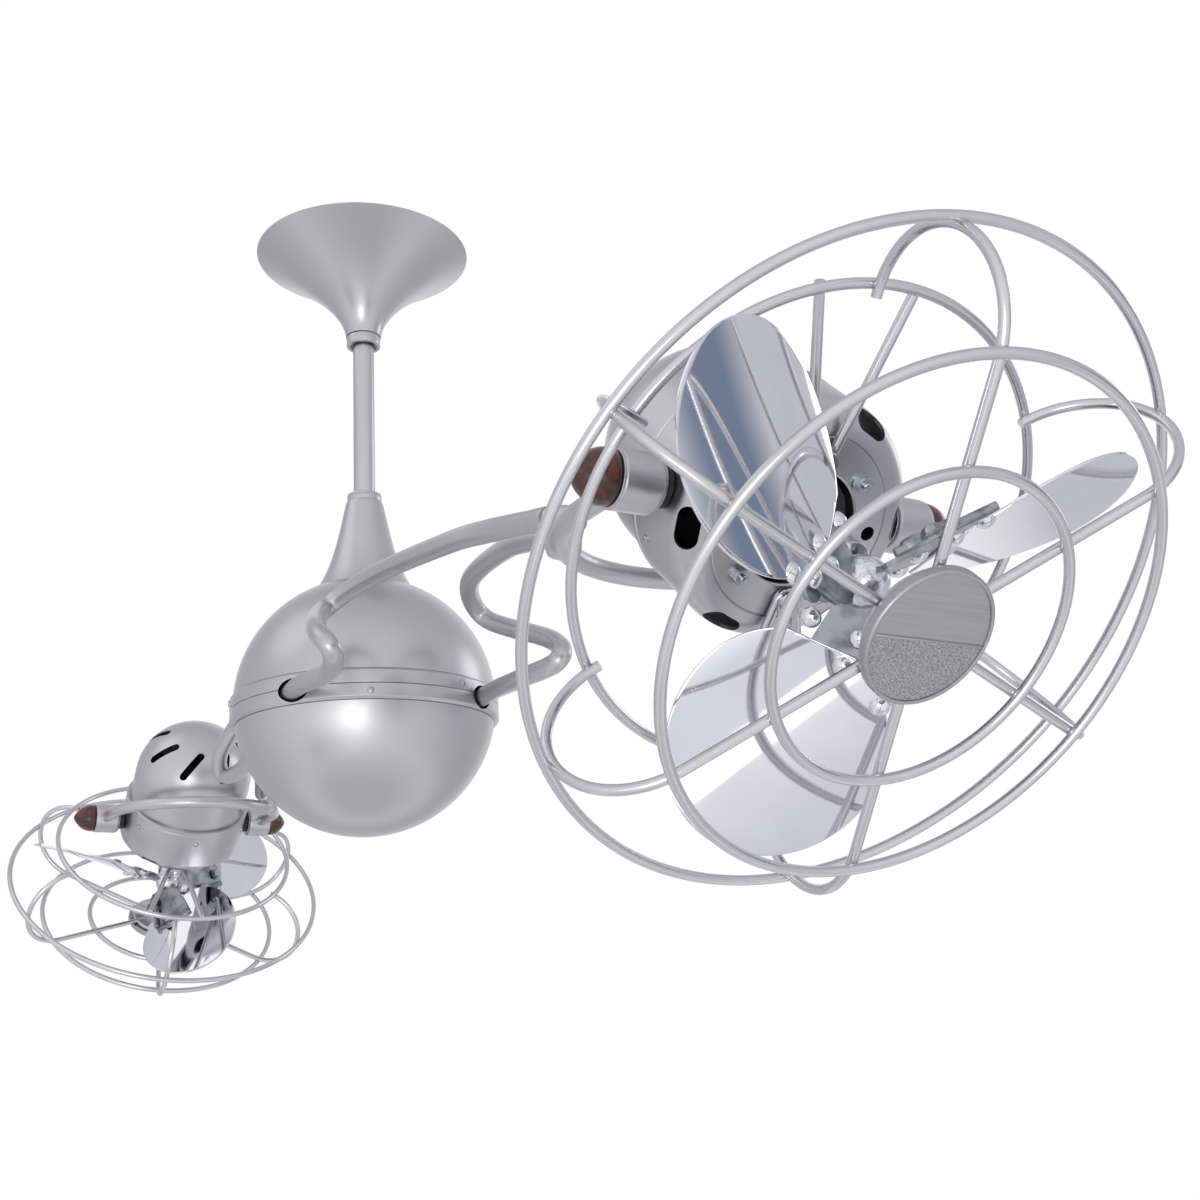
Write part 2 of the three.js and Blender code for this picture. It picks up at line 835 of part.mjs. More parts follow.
function frontCup() {
  const round = cupFront - cupRound;
  const innerRound = cupRound - cupWall;
  const lipRadius = domeRadius + fit;
  const points = [
    [lipRadius, cupRear],
    [cupRadius, cupRear],
    ...arc(cupRound, cupRadius - cupRound, round, 0, Math.PI / 2, 3),
    [cupMouthRadius, cupFront],
    [cupMouthRadius, cupFront - cupWall],
    ...arc(innerRound, cupRadius - cupRound, round, Math.PI / 2, 0, 1),
    [cupRadius - cupWall, cupRear + cupLip],
    [lipRadius, cupRear + cupLip],
    [lipRadius, cupRear],
  ];
  const reach = cupRadius - cupRound + cupRound * Math.SQRT1_2;
  const vents = [];
  for (let i = 0; i < ventCount; i += 1) {
    vents.push(
      roundEndedPrism(ventLength, ventWidth, cupRound, 2)
        .rotateZ(Math.PI / 2)
        .rotateY(Math.PI / 4)
        .translate(reach, 0, round + cupRound * Math.SQRT1_2)
        .rotateZ(THREE.MathUtils.degToRad(ventAngle) + (2 * Math.PI * i) / ventCount),
    );
  }
  const pinHoles = rod(pinBore, -cupRadius - overrun, cupRadius + overrun, boltSides).rotateY(
    Math.PI / 2,
  );
  const boltHoles = strutAngles().map((angle) =>
    rod(boltRadius + fit, cupFront - cupWall - overrun, cupFront + overrun, boltSides)
      .translate(strutBoltRadius, 0, 0)
      .rotateZ(angle),
  );
  return cut(turned(points, motorSides), ...vents, pinHoles, ...boltHoles);
}

function motorCore() {
  const facet = Math.PI / 4 / domeInnerSteps;
  const inner = (domeRadius - domeWall) * Math.cos(facet);
  const bossEnd = domeCentre - Math.sqrt(inner ** 2 - coreBossRadius ** 2) + fit;
  const points = [
    [0, bossEnd],
    [coreBossRadius, bossEnd],
    [coreBossRadius, coreBossStart],
    [coreBackRadius, coreBossStart],
    [coreBackRadius, coreRear],
    [coreRadius, coreRear],
    [coreRadius, coreFront],
    [coreNoseRadius, coreFront],
    [coreNoseRadius, coreNoseFront],
    [shaftRadius + fit, coreNoseFront],
    [shaftRadius + fit, shaftBoreEnd],
    [0, shaftBoreEnd],
  ];
  const pinHoles = [-1, 1].map((side) =>
    rod(pinBore, pinInnerReach - fit, coreRadius + overrun, boltSides).rotateY((side * Math.PI) / 2),
  );
  return cut(turned(points, barrelSides), ...pinHoles);
}

function strutAngles() {
  return Array.from(
    { length: strutCount },
    (_, i) => THREE.MathUtils.degToRad(strutAngle) + (2 * Math.PI * i) / strutCount,
  );
}

function polar(radius, angle, height) {
  return new THREE.Vector3(radius * Math.cos(angle), radius * Math.sin(angle), height);
}

function cageRing(radius, place) {
  const segments = Math.round(ringSegmentsShare * radius / wireRadius / ribCount) * ribCount;
  return new THREE.TorusGeometry(radius, wireReach, wireSides, segments).translate(0, 0, place);
}

function cage() {
  const wires = [
    cageRing(backRingRadius, backRingPlace),
    cageRing(outerRingRadius, outerRingPlace),
    cageRing(frontRingRadius, frontRingPlace),
    cageRing(innerRingRadius, frontRingPlace),
    rod(ribPlateRadius, ribPlane - wireReach, ribPlane + wireReach, barrelSides),
  ];
  for (let i = 0; i < ribCount; i += 1) {
    const angle = THREE.MathUtils.degToRad(ribAngle) + (2 * Math.PI * i) / ribCount;
    const start = polar(ribPlateRadius / 2, angle, ribPlane);
    const path = new HookCurve(
      start,
      polar(1, angle, 0),
      Z.clone().negate(),
      ribBendStart - ribPlateRadius / 2,
      ribReach,
      ribBend,
      0,
      6,
    );
    wires.push(tube(path, wireRadius, wireSides, path.steps));
  }
  for (const angle of strutAngles()) {
    const bolt = polar(strutBoltRadius, angle, eyeletPlane);
    wires.push(
      ring(
        boltRadius + fit,
        eyeletRadius + wireRadius,
        -wireReach,
        wireReach,
        boltSides,
      ).translate(bolt.x, bolt.y, bolt.z),
    );
    for (const side of [-1, 1]) {
      const spread = side * THREE.MathUtils.degToRad(strutSpread);
      const end = polar(backRingRadius, angle + spread, backRingPlace);
      const start = polar(strutBoltRadius + eyeletRadius, angle, eyeletPlane + legRise);
      wires.push(tube(new THREE.LineCurve3(start, end), wireRadius, wireSides, 1));
    }
  }
  return join(...wires);
}

function strutBolt(angle) {
  const seat = eyeletPlane + wireReach + fit;
  const head = new THREE.CylinderGeometry(boltHeadRadius, boltHeadRadius, boltHeadHeight, 6);
  head.rotateX(Math.PI / 2).translate(0, 0, seat + boltHeadHeight / 2);
  const shank = rod(boltRadius - fit, cupFront - boltShank, seat + boltHeadHeight / 2, boltSides);
  return join(head, shank).translate(strutBoltRadius, 0, 0).rotateZ(angle);
}

function medallion() {
  const back = ribPlane + wireReach + fit;
  const front = back + medallionThickness;
  const face = front - medallionRecess;
  const rimEdge = medallionRadius - medallionRim;
  const points = [
    [0, back],
    [medallionRadius, back],
    [medallionRadius, front - medallionRecess],
    [medallionRadius - medallionRecess, front],
    [rimEdge, front],
    [rimEdge, face],
    [0, face],
  ];
  return turned(points, motorSides);
}

function pivotPin(side) {
  return rod(pinRadius, pinInnerReach, barrelOuter + pinGrip, boltSides).rotateY(
    (side * Math.PI) / 2,
  );
}

function pivotWasher(side) {
  return ring(pinBore, washerRadius, cupRadius + fit, barrelInner - fit, barrelSides).rotateY(
    (side * Math.PI) / 2,
  );
}

// A point of a blade or iron from its place along and across the pitched plane.
function bladePoint(along, across, lift) {
  const outward = (along - bladeMiddle) / (bladeReach - bladeMiddle);
  const pitch = THREE.MathUtils.degToRad(bladePitch - bladeTwist * outward);
  const cup = bladeCup * ((across - bladeShift) / bladeHalfWidth) ** 2;
  const height = lift - cup;
  return new THREE.Vector3(
    along,
    across * Math.cos(pitch) - height * Math.sin(pitch),
    bladePlace + across * Math.sin(pitch) + height * Math.cos(pitch),
  );
}

// A round paddle with a straight root edge, pitched, twisted and slightly cupped.
function blade() {
  const sectors = 18;
  const rings = 2;
  const layers = [0, bladeThickness].map((lift) => {
    const rows = [];
    for (let j = 0; j <= rings; j += 1) {
      const row = [];
      for (let i = 0; i < sectors; i += 1) {
        const angle = (2 * Math.PI * i) / sectors;
        const share = j / rings;
        const along = bladeMiddle + share * bladeHalfLength * Math.cos(angle);
        const across = bladeShift + share * bladeHalfWidth * Math.sin(angle);
        row.push(bladePoint(Math.max(along, bladeRoot), across, lift));
      }
      rows.push(row);
    }
    return rows;
  });
  const corners = [];
  const quad = (a, b, c, d) => corners.push(a, b, c, a, c, d);
  for (let i = 0; i < sectors; i += 1) {
    const next = (i + 1) % sectors;
    for (let j = 0; j < rings; j += 1) {
      const [low, high] = layers;
      if (j === 0) {
        corners.push(high[0][0], high[1][i], high[1][next]);
        corners.push(low[0][0], low[1][next], low[1][i]);
      } else {
        quad(high[j][i], high[j + 1][i], high[j + 1][next], high[j][next]);
        quad(low[j][next], low[j + 1][next], low[j + 1][i], low[j][i]);
      }
    }
    quad(layers[0][rings][i], layers[0][rings][next], layers[1][rings][next], layers[1][rings][i]);
  }
  return new THREE.BufferGeometry().setFromPoints(corners);
}

// A strap behind the blade's root, in the blade's pitched plane.
function iron() {
  const back = -fit - ironThickness;
  const places = [
    [0, -1],
    [1, -1],
    [1, 1],
    [0, 1],
  ];
  const layers = [back, -fit].map((lift) =>
    places.map(([out, side]) =>
      bladePoint(
        hubRadius / 2 + out * (ironReach - hubRadius / 2),
        ironShift + (side * ironWidth * (1 + out)) / 4,
        lift,
      ),
    ),
  );
  const corners = [];
  const quad = (a, b, c, d) => corners.push(a, b, c, a, c, d);
  const [low, high] = layers;
  quad(high[0], high[1], high[2], high[3]);
  quad(low[3], low[2], low[1], low[0]);
  for (let i = 0; i < places.length; i += 1) {
    const next = (i + 1) % places.length;
    quad(low[i], low[next], high[next], high[i]);
  }
  return new THREE.BufferGeometry().setFromPoints(corners);
}

function bladeAngles() {
  return Array.from(
    { length: bladeCount },
    (_, i) => THREE.MathUtils.degToRad(bladeAngle) + (2 * Math.PI * i) / bladeCount,
  );
}

function hub() {
  const neck = nosePlace - Math.sqrt(noseRadius ** 2 - noseNeckRadius ** 2);
  const neckAngle = -Math.acos(noseNeckRadius / noseRadius);
  const points = [
    [0, shaftBoreEnd + fit],
    [shaftRadius, shaftBoreEnd + fit],
    [shaftRadius, hubRear],
    [hubRadius, hubRear],
    [hubRadius, neck - noseNeckRadius / 2],
    [noseNeckRadius, neck],
    ...arc(noseRadius, 0, nosePlace, neckAngle, Math.PI / 2, 5),
  ];
  points[points.length - 1][0] = 0;
  const irons = bladeAngles().map((angle) => iron().rotateZ(angle));
  return join(turned(points, barrelSides), ...irons);
}

// Assembly
const fan = new THREE.Group();
fan.name = "ceiling_fan";

const mount = new THREE.Group();
mount.add(
  piece("hanger_bracket", hangerBracket(), steel),
  piece("hanger_ball", hangerBall(), steel),
  piece("hanger_pin", hangerPin(), steel),
  piece("downrod", downrod(), nickel),
  piece("canopy", canopy(), nickel),
  piece("canopy_collar", canopyCollar(), nickel),
);
fan.add(mount);

const ball = new THREE.Group();
ball.position.set(0, 0, -ballDrop);
ball.add(
  piece("coupling_collar", couplingCollar(), nickel),
  piece("spindle", spindle(), steel),
  piece("upper_bearing", bearing(upperBearingHeight), steel),
  piece("lower_bearing", bearing(lowerBearingHeight), steel),
  piece("slip_ring", slipRing(), brass),
  piece("stem_cone", stemCone(), nickel),
  piece("upper_shell", upperShell(), nickel),
  piece("upper_band", band(bandSeam + fit / 2, bandTop, true), nickel),
  piece("lower_band", band(bandFoot, bandSeam - fit / 2, false), nickel),
  piece("lower_shell", lowerShell(), nickel),
  piece("arm_plate", armPlate(), steel),
  piece("brush_block", brushBlock(), blackPlastic),
);
fan.add(ball);

// One arm pair with its yoke and head; the other is the same, turned half round the rod.
function armSide(letter, turn, tilt) {
  const side = new THREE.Group();
  side.rotation.z = turn;
  side.add(
    piece(`arm_${letter}_left`, armTube(-1), nickel),
    piece(`arm_${letter}_right`, armTube(1), nickel),
    piece(`yoke_${letter}`, yoke(), nickel),
    piece(`finial_${letter}_left`, finial(-1), burlWood),
    piece(`finial_${letter}_right`, finial(1), burlWood),
    head(letter, tilt),
  );
  return side;
}

function head(letter, tilt) {
  const angle = THREE.MathUtils.degToRad(tilt);
  const axis = new THREE.Vector3(Math.sin(angle), 0, -Math.cos(angle));
  const across = new THREE.Vector3().crossVectors(axis, Y);
  const group = new THREE.Group();
  group.applyMatrix4(new THREE.Matrix4().makeBasis(Y, across, axis));
  group.position.set(pivotReach, 0, pivotHeight);
  group.add(
    piece(`rear_dome_${letter}`, rearDome(), nickel),
    piece(`front_cup_${letter}`, frontCup(), nickel),
    piece(`motor_core_${letter}`, motorCore(), blackEnamel),
    piece(`cage_${letter}`, cage(), nickel),
    piece(`medallion_${letter}`, medallion(), nickel),
    piece(`pivot_pin_${letter}_left`, pivotPin(-1), steel),
    piece(`pivot_pin_${letter}_right`, pivotPin(1), steel),
    piece(`pivot_washer_${letter}_left`, pivotWasher(-1), blackPlastic),
    piece(`pivot_washer_${letter}_right`, pivotWasher(1), blackPlastic),
    piece(`hub_${letter}`, hub(), chrome),
  );
  strutAngles().forEach((place, i) => {
    group.add(piece(`strut_bolt_${letter}_${i + 1}`, strutBolt(place), steel));
  });
  bladeAngles().forEach((place, i) => {
    group.add(piece(`blade_${letter}_${i + 1}`, blade().rotateZ(place), chrome));
  });
  return group;
}

ball.add(armSide("a", 0, tiltA), armSide("b", Math.PI, tiltB));

export default fan;
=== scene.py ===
"""Double-headed ceiling fan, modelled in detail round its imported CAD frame."""

import math

import bpy
from mathutils import Matrix, Vector


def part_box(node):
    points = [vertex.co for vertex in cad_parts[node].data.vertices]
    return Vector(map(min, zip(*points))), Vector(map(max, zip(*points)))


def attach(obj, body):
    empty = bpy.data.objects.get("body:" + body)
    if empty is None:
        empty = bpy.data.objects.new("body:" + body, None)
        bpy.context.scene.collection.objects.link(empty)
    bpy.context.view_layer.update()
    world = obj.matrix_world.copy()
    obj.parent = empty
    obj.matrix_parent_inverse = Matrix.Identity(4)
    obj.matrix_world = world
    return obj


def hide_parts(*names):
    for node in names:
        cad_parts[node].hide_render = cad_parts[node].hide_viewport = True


bl_info = {
    "name": "Double-headed ceiling fan",
    "version": (1, 0, 0),
    "blender": (4, 5, 0),
    "location": "3D View > Sidebar > Ceiling fan",
    "description": "Models a ceiling fan with two caged, tilting heads on bent arms",
    "category": "Object",
}

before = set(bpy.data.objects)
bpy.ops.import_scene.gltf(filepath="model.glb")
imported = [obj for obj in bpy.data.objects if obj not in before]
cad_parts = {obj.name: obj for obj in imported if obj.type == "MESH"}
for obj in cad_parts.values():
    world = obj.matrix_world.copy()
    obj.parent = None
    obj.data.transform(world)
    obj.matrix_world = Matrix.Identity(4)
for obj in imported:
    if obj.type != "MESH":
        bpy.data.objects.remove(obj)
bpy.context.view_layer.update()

# Sizes in millimetres and angles in degrees, as the CAD model has them where it has the piece

# The gap between pieces that stand against each other
FIT = 0.3

# Canopy, rod and their collars
CEILING_GAP = 1
CANOPY_NECK = 17.4
CANOPY_MOUTH = 105
CANOPY_DEPTH = 89
CANOPY_FLARE = 1.7
CANOPY_WALL = 1.4
ROD_RADIUS = 10.3
ROD_BORE = 8.3
NECK_COLLAR_RADIUS = 16.5
NECK_COLLAR_BORE = 13
FOOT_COLLAR_RADIUS = 16.4
FOOT_COLLAR_BORE = 8.6
COLLAR_STEP = 4

# Centre ball with its cone and belt, measured from the ball's middle
BALL_DROP = 466
BALL_RADIUS = 120
SHELL_WALL = 2.5
BAND_TOP = 7
BAND_FOOT = -20
BAND_SEAM = -6.5
BAND_RADIUS = 122.6
BAND_BORE = 114
BAND_EDGE = 2.4
COLLAR_SEAM = 110
CONE_TOP = 199.7
CONE_TOP_RADIUS = 17.6
CONE_FLARE = 28.8
CONE_LENGTH = 89.4
CONE_WALL = 1.6

# Yokes, knuckles, barrels and finials, measured from the pivots' middle
PIVOT_REACH = 622
PIVOT_HEIGHT = -15
PIVOT_BORE = 5.3
YOKE_RADIUS = 97
YOKE_LEG = 50
KNUCKLE_AZIMUTH = 50
KNUCKLE_RADIUS = 11
KNUCKLE_FOOT = -6
KNUCKLE_TOP = 25.5
BARREL_INNER = 82.3
BARREL_OUTER = 109.3
BARREL_RADIUS = 17.5
FINIAL_RADIUS = 16.3
FINIAL_LENGTH = 24

# Arms: the points that each one passes are shares of the ball's radius, then of the arm's reach
ARM_REACH = 515.04
ARM_AZIMUTH = math.atan2(-74.306, 509.65)
ARM_END = (ARM_REACH, 8.15, 3)
ARM_ROOT = ((0.8661, 0.6968, -0.0774), (1.6841, 0.6474, -0.1667))
ARM_ROUTE = (
    (0.5155, 0.173, -0.038),
    (0.4672, 0.1856, 0.0082),
    (0.2911, 0.1358, 0.0901),
    (0.3796, 0.0802, 0.1221),
    (0.6637, 0.0446, 0.0839),
    (0.8341, 0.0416, 0.044),
)

# Each head's tilt from straight down, and its side's turn about the rod in radians
TILTS = {"a": 46.2, "b": 42.55}
TURNS = {"a": 0, "b": math.pi}

# The two sides of a head, as signs along its pivot line and as words in the pieces' names
HANDS = ((-1, "left"), (1, "right"))

# Motor housings, measured along the rotor's axis from the pivots
CUP_RADIUS = 74.5
CUP_FRONT = 32
CUP_REAR = -31
CUP_ROUND = 16
CUP_WALL = 2.4
CUP_HOLE = 35
DOME_RADIUS = 70
DOME_CENTRE = -66
DOME_FRONT = -25
DOME_WALL = 2
LOUVRE_COUNT = 8
LOUVRE_LENGTH = 40
LOUVRE_WIDTH = 9
LOUVRE_POLAR = 50
LOUVRE_SLANT = 24

# Guards: each ring's radius and place, then ribs, struts and medallions
BACK_RING = (143.4, 44.3)
OUTER_RING = (191.5, 98.35)
FRONT_RING = (144.4, 152.4)
INNER_RING = (86.6, 152.4)
RIB_PLANE = 148.4
RIB_END_PLANE = 48.3
RIB_BEND_START = 137.4
RIB_REACH = 50.1
STRUT_BOLT = 44
STRUT_TURNS = (100, 280)
STRUT_SPREAD = 12
EYELET_PLANE = 35.4
EYELET_RADIUS = 6.2
MEDALLION_BACK = 151.7
MEDALLION_RADIUS = 38
MEDALLION_DEPTH = 6.5

# Rotors: the hub with its nose, the blades and their irons
SHAFT_RADIUS = 6
SHAFT_END = -33.7
HUB_RADIUS = 15
HUB_BACK = 66
HUB_NECK = 8
NOSE_PLACE = 96
NOSE_RADIUS = 14.5
BLADE_COUNT = 3
BLADE_TURN = 149
BLADE_PLACE = 97
BLADE_MIDDLE = 105
BLADE_HALF_LENGTH = 69
BLADE_HALF_WIDTH = 60
BLADE_SHIFT = -8
BLADE_ROOT = 40
BLADE_CUP = 3
BLADE_PITCH = 37
BLADE_TWIST = 7
IRON_SHIFT = 6
IRON_START = 7
IRON_LENGTH = 68

# Screwdriver slots
SLOT_WIDTH = 0.8

# Where noise patterns mostly run, between 0 and 1
NOISE_LOW = 0.3
NOISE_HIGH = 0.7


# Colours and finishes


def colour(code):
    """Turns an sRGB hex value into the linear colour that shaders take."""
    parts = [int(code[i : i + 2], 16) / 255 for i in (0, 2, 4)]
    linear = [p / 12.92 if p <= 0.04045 else ((p + 0.055) / 1.055) ** 2.4 for p in parts]
    return (*linear, 1.0)


def colour_steps(base, shares):
    """The same colour made darker or lighter by shares."""
    return [(*(min(1.0, part * share) for part in base[:3]), 1.0) for share in shares]


def cells(size):
    """The scale of a pattern on Object coordinates whose cells are this many millimetres across."""
    return 1000 / size


def node(material, kind, links=None, stops=(), **settings):
    """Adds one shader node, sets its properties, inputs and colour stops, and links its inputs."""
    tree = material.node_tree
    made = tree.nodes.new(kind)
    for name, value in settings.items():
        if hasattr(made, name):
            setattr(made, name, value)
        else:
            made.inputs[name.replace("_", " ")].default_value = value
    for name, output in (links or {}).items():
        tree.links.new(output, made.inputs[name])
    if stops:
        points = made.color_ramp.elements
        while len(points) < len(stops):
            points.new(0.5)
        for point, (place, value) in zip(points, stops):
            point.position = place
            point.color = value
    return made


def link(material, output, socket):
    material.node_tree.links.new(output, socket)


def set_inputs(shader, **values):
    for name, value in values.items():
        shader.inputs[name.replace("_", " ")].default_value = value


def finish_named(name):
    """An empty material with its output, Object coordinates in metres and a principled shader."""
    material = bpy.data.materials.new(name)
    material.use_nodes = True
    material.node_tree.nodes.clear()
    shader = node(material, "ShaderNodeBsdfPrincipled")
    node(material, "ShaderNodeOutputMaterial", {"Surface": shader.outputs["BSDF"]})
    place = node(material, "ShaderNodeTexCoord").outputs["Object"]
    return material, shader, place


def vary(material, shader, pattern, tone=None, roughness=None, relief=None):
    """Lets a pattern vary a finish.

    Tone holds a colour's name, its darkest and lightest share, and where the pattern reaches them.
    Roughness holds the least and the most, and relief a bump's strength and depth in millimetres.
    """
    if tone:
        name, shares, reach = tone
        steps = colour_steps(getattr(bpy.context.scene.fan_colours, name), shares)
        shade = node(material, "ShaderNodeValToRGB", {"Fac": pattern}, stops=list(zip(reach, steps)))
        link(material, shade.outputs["Color"], shader.inputs["Base Color"])
    if roughness:
        least, most = roughness
        rough = node(material, "ShaderNodeMapRange", {"Value": pattern}, To_Min=least, To_Max=most)
        set_inputs(rough, From_Min=NOISE_LOW, From_Max=NOISE_HIGH)
        link(material, rough.outputs["Result"], shader.inputs["Roughness"])
    if relief:
        strength, depth = relief
        bump = node(material, "ShaderNodeBump", {"Height": pattern}, Strength=strength, Distance=mm(depth))
        link(material, bump.outputs["Normal"], shader.inputs["Normal"])


def satin_nickel():
    """Satin nickel plate: a pale cool grey metal whose blasted grain spreads each highlight softly."""
    material, shader, place = finish_named("satin_nickel_plate")
    cloud = node(material, "ShaderNodeTexNoise", {"Vector": place}, Scale=cells(71.4), Detail=4)
    # The grit's pits are about 0.1 mm across, drawn coarser so that they show
    grain = node(material, "ShaderNodeTexNoise", {"Vector": place}, Scale=cells(1.43), Detail=2)
    tone = ("nickel", (0.96, 1.03), (0.3, 0.7))
    vary(material, shader, cloud.outputs["Fac"], tone=tone, roughness=(0.31, 0.37))
    vary(material, shader, grain.outputs["Fac"], relief=(0.012, 0.2))
    set_inputs(shader, Metallic=1.0)
    return material


def drawn_nickel_wire():
    """Nickel plated drawn wire: smoother than the blasted plate, so it carries a sharp white line, and
    drawn lighter than the plate as a painted highlight.
    """
    material, shader, place = finish_named("nickel_plated_wire")
    cloud = node(material, "ShaderNodeTexNoise", {"Vector": place}, Scale=cells(50), Detail=3)
    # The same nickel as the plate made lighter here: a painted highlight for the brightly lit wires
    tone = ("nickel", (1.12, 1.2), (0.3, 0.7))
    vary(material, shader, cloud.outputs["Fac"], tone=tone, roughness=(0.19, 0.24))
    set_inputs(shader, Metallic=1.0)
    return material


def mirror_chrome():
    """Polished chrome: an almost colourless mirror with the faintest haze from buffing."""
    material, shader, place = finish_named("polished_chrome")
    haze = node(material, "ShaderNodeTexNoise", {"Vector": place}, Scale=cells(33.3), Detail=4)
    tone = ("chrome", (0.97, 1.02), (0.35, 0.65))
    vary(material, shader, haze.outputs["Fac"], tone=tone, roughness=(0.03, 0.06))
    set_inputs(shader, Metallic=1.0)
    return material


def hand_polished():
    """Hand-polished cast nose: bright metal whose low hammered dents break the reflections up."""
    material, shader, place = finish_named("hand_polished_casting")
    dents = node(
        material, "ShaderNodeTexVoronoi", {"Vector": place}, Scale=cells(3.03), feature="SMOOTH_F1"
    )
    cloud = node(material, "ShaderNodeTexNoise", {"Vector": place}, Scale=cells(6.25), Detail=4)
    vary(material, shader, cloud.outputs["Fac"], tone=("chrome", (0.68, 1.0), (0.34, 0.6)))
    vary(material, shader, dents.outputs["Distance"], relief=(0.3, 0.8))
    set_inputs(shader, Metallic=1.0, Roughness=0.14)
    return material


def galvanised_iron():
    """Galvanised blade iron: dull bluish grey with darker blotches of oxide."""
    material, shader, place = finish_named("galvanised_blade_iron")
    blotches = node(material, "ShaderNodeTexNoise", {"Vector": place}, Scale=cells(14.3), Detail=4)
    tone = ("zinc", (0.42, 0.9), (0.38, 0.6))
    vary(material, shader, blotches.outputs["Fac"], tone=tone, relief=(0.15, 0.5))
    set_inputs(shader, Metallic=1.0, Roughness=0.34)
    return material


def zinc_plate():
    """Zinc plated steel: a bright grey metal with faint cloudy patches and a fine rolled grain."""
    material, shader, place = finish_named("zinc_plated_steel")
    spangle = node(material, "ShaderNodeTexVoronoi", {"Vector": place}, Scale=cells(6.25), feature="F1")
    # The cloud reads each spangle's own colour, so its scale is a share of that and not a size
    cloud = node(material, "ShaderNodeTexNoise", {"Vector": spangle.outputs["Color"]}, Scale=6, Detail=2)
    # Rolling marks are finer than 0.1 mm, drawn coarser so that they show
    grain = node(material, "ShaderNodeTexNoise", {"Vector": place}, Scale=cells(1.11), Detail=2)
    tone = ("zinc", (0.9, 1.2), (0.3, 0.7))
    vary(material, shader, cloud.outputs["Fac"], tone=tone, roughness=(0.18, 0.28))
    vary(material, shader, grain.outputs["Fac"], relief=(0.05, 0.2))
    set_inputs(shader, Metallic=1.0)
    return material


def lacquered_burl():
    """Burl wood under gloss lacquer: dark red-brown with curling darker figure and a wet shine."""
    material, shader, place = finish_named("lacquered_burl_wood")
    look = bpy.context.scene.fan_colours
    swirl = node(
        material, "ShaderNodeTexNoise", {"Vector": place}, Scale=cells(14.3), Detail=5, Distortion=2.4
    ).outputs["Fac"]
    eyes = node(material, "ShaderNodeTexVoronoi", {"Vector": place}, Scale=cells(5.26))
    figure = node(
        material,
        "ShaderNodeMath",
        {0: swirl, 1: eyes.outputs["Distance"], 2: swirl},
        operation="MULTIPLY_ADD",
    )
    tone = node(
        material,
        "ShaderNodeValToRGB",
        {"Fac": figure.outputs["Value"]},
        stops=[(0.4, look.burl_dark), (0.72, look.burl), (1.0, look.burl_light)],
    )
    link(material, tone.outputs["Color"], shader.inputs["Base Color"])
    set_inputs(shader, Roughness=0.4, IOR=1.45, Coat_Weight=0.6, Coat_Roughness=0.03)
    return material


def moulded_black():
    """Black moulded nylon: near black with a faint sheen and a fine mould texture."""
    material, shader, place = finish_named("moulded_black_nylon")
    # The mould's texture is about 0.2 mm across, drawn coarser so that it shows
    texture = node(material, "ShaderNodeTexNoise", {"Vector": place}, Scale=cells(1.43), Detail=2)
    tone = ("black", (0.8, 1.3), (0.3, 0.7))
    vary(material, shader, texture.outputs["Fac"], tone=tone, relief=(0.2, 0.2))
    set_inputs(shader, Roughness=0.45, IOR=1.5)
    return material


def motor_enamel():
    """Black baked enamel on the motor: darker than the nylon, with an orange-peel gloss."""
    material, shader, place = finish_named("black_motor_enamel")
    peel = node(material, "ShaderNodeTexNoise", {"Vector": place}, Scale=cells(2.86), Detail=1)
    tone = ("black", (0.5, 0.9), (0.3, 0.7))
    vary(material, shader, peel.outputs["Fac"], tone=tone, relief=(0.12, 0.4))
    set_inputs(shader, Roughness=0.3, IOR=1.5)
    return material


def cast_aluminium():
    """Cast aluminium: a light grey with the pebbly skin of the mould."""
    material, shader, place = finish_named("cast_aluminium")
    skin = node(material, "ShaderNodeTexNoise", {"Vector": place}, Scale=cells(2.38), Detail=3)
    tone = ("zinc", (0.85, 1.1), (0.3, 0.7))
    vary(material, shader, skin.outputs["Fac"], tone=tone, relief=(0.4, 0.3))
    set_inputs(shader, Metallic=1.0, Roughness=0.5)
    return material


def turned_brass():
    """Turned brass: yellow metal with the fine rings of the lathe tool."""
    material, shader, place = finish_named("turned_brass")
    rings = node(
        material,
        "ShaderNodeTexWave",
        {"Vector": place},
        bands_direction="Z",
        Scale=cells(2.86),
        Distortion=0.3,
    )
    tone = ("brass", (0.85, 1.05), (0.2, 0.8))
    vary(material, shader, rings.outputs["Fac"], tone=tone, relief=(0.2, 0.1))
    set_inputs(shader, Metallic=1.0, Roughness=0.25)
    return material


def cast_badge():
    """Cast badge metal: antique grey with dark speckles left by the patina in its stippled ground."""
    material, shader, place = finish_named("antiqued_cast_badge")
    stipple = node(material, "ShaderNodeTexNoise", {"Vector": place}, Scale=cells(0.77), Detail=3)
    tone = ("nickel", (0.4, 0.95), (0.36, 0.6))
    vary(material, shader, stipple.outputs["Fac"], tone=tone, relief=(0.4, 0.3))
    set_inputs(shader, Metallic=1.0, Roughness=0.38)
    return material


def brushed_badge():
    """Brushed badge metal: mid grey with fine straight lines that drag the light sideways."""
    material, shader, place = finish_named("brushed_badge_nickel")
    along = node(material, "ShaderNodeMapping", {"Vector": place}, Scale=(1, 0.02, 1)).outputs["Vector"]
    # The brush's lines are about 0.1 mm wide, drawn coarser so that they show
    lines = node(material, "ShaderNodeTexNoise", {"Vector": along}, Scale=cells(0.91), Detail=2)
    tone = ("nickel", (0.76, 0.84), (0.35, 0.65))
    vary(material, shader, lines.outputs["Fac"], tone=tone, relief=(0.03, 0.2))
    set_inputs(shader, Metallic=1.0, Roughness=0.34)
    return material


# Modelling helpers


def mm(value):
    return value / 1000


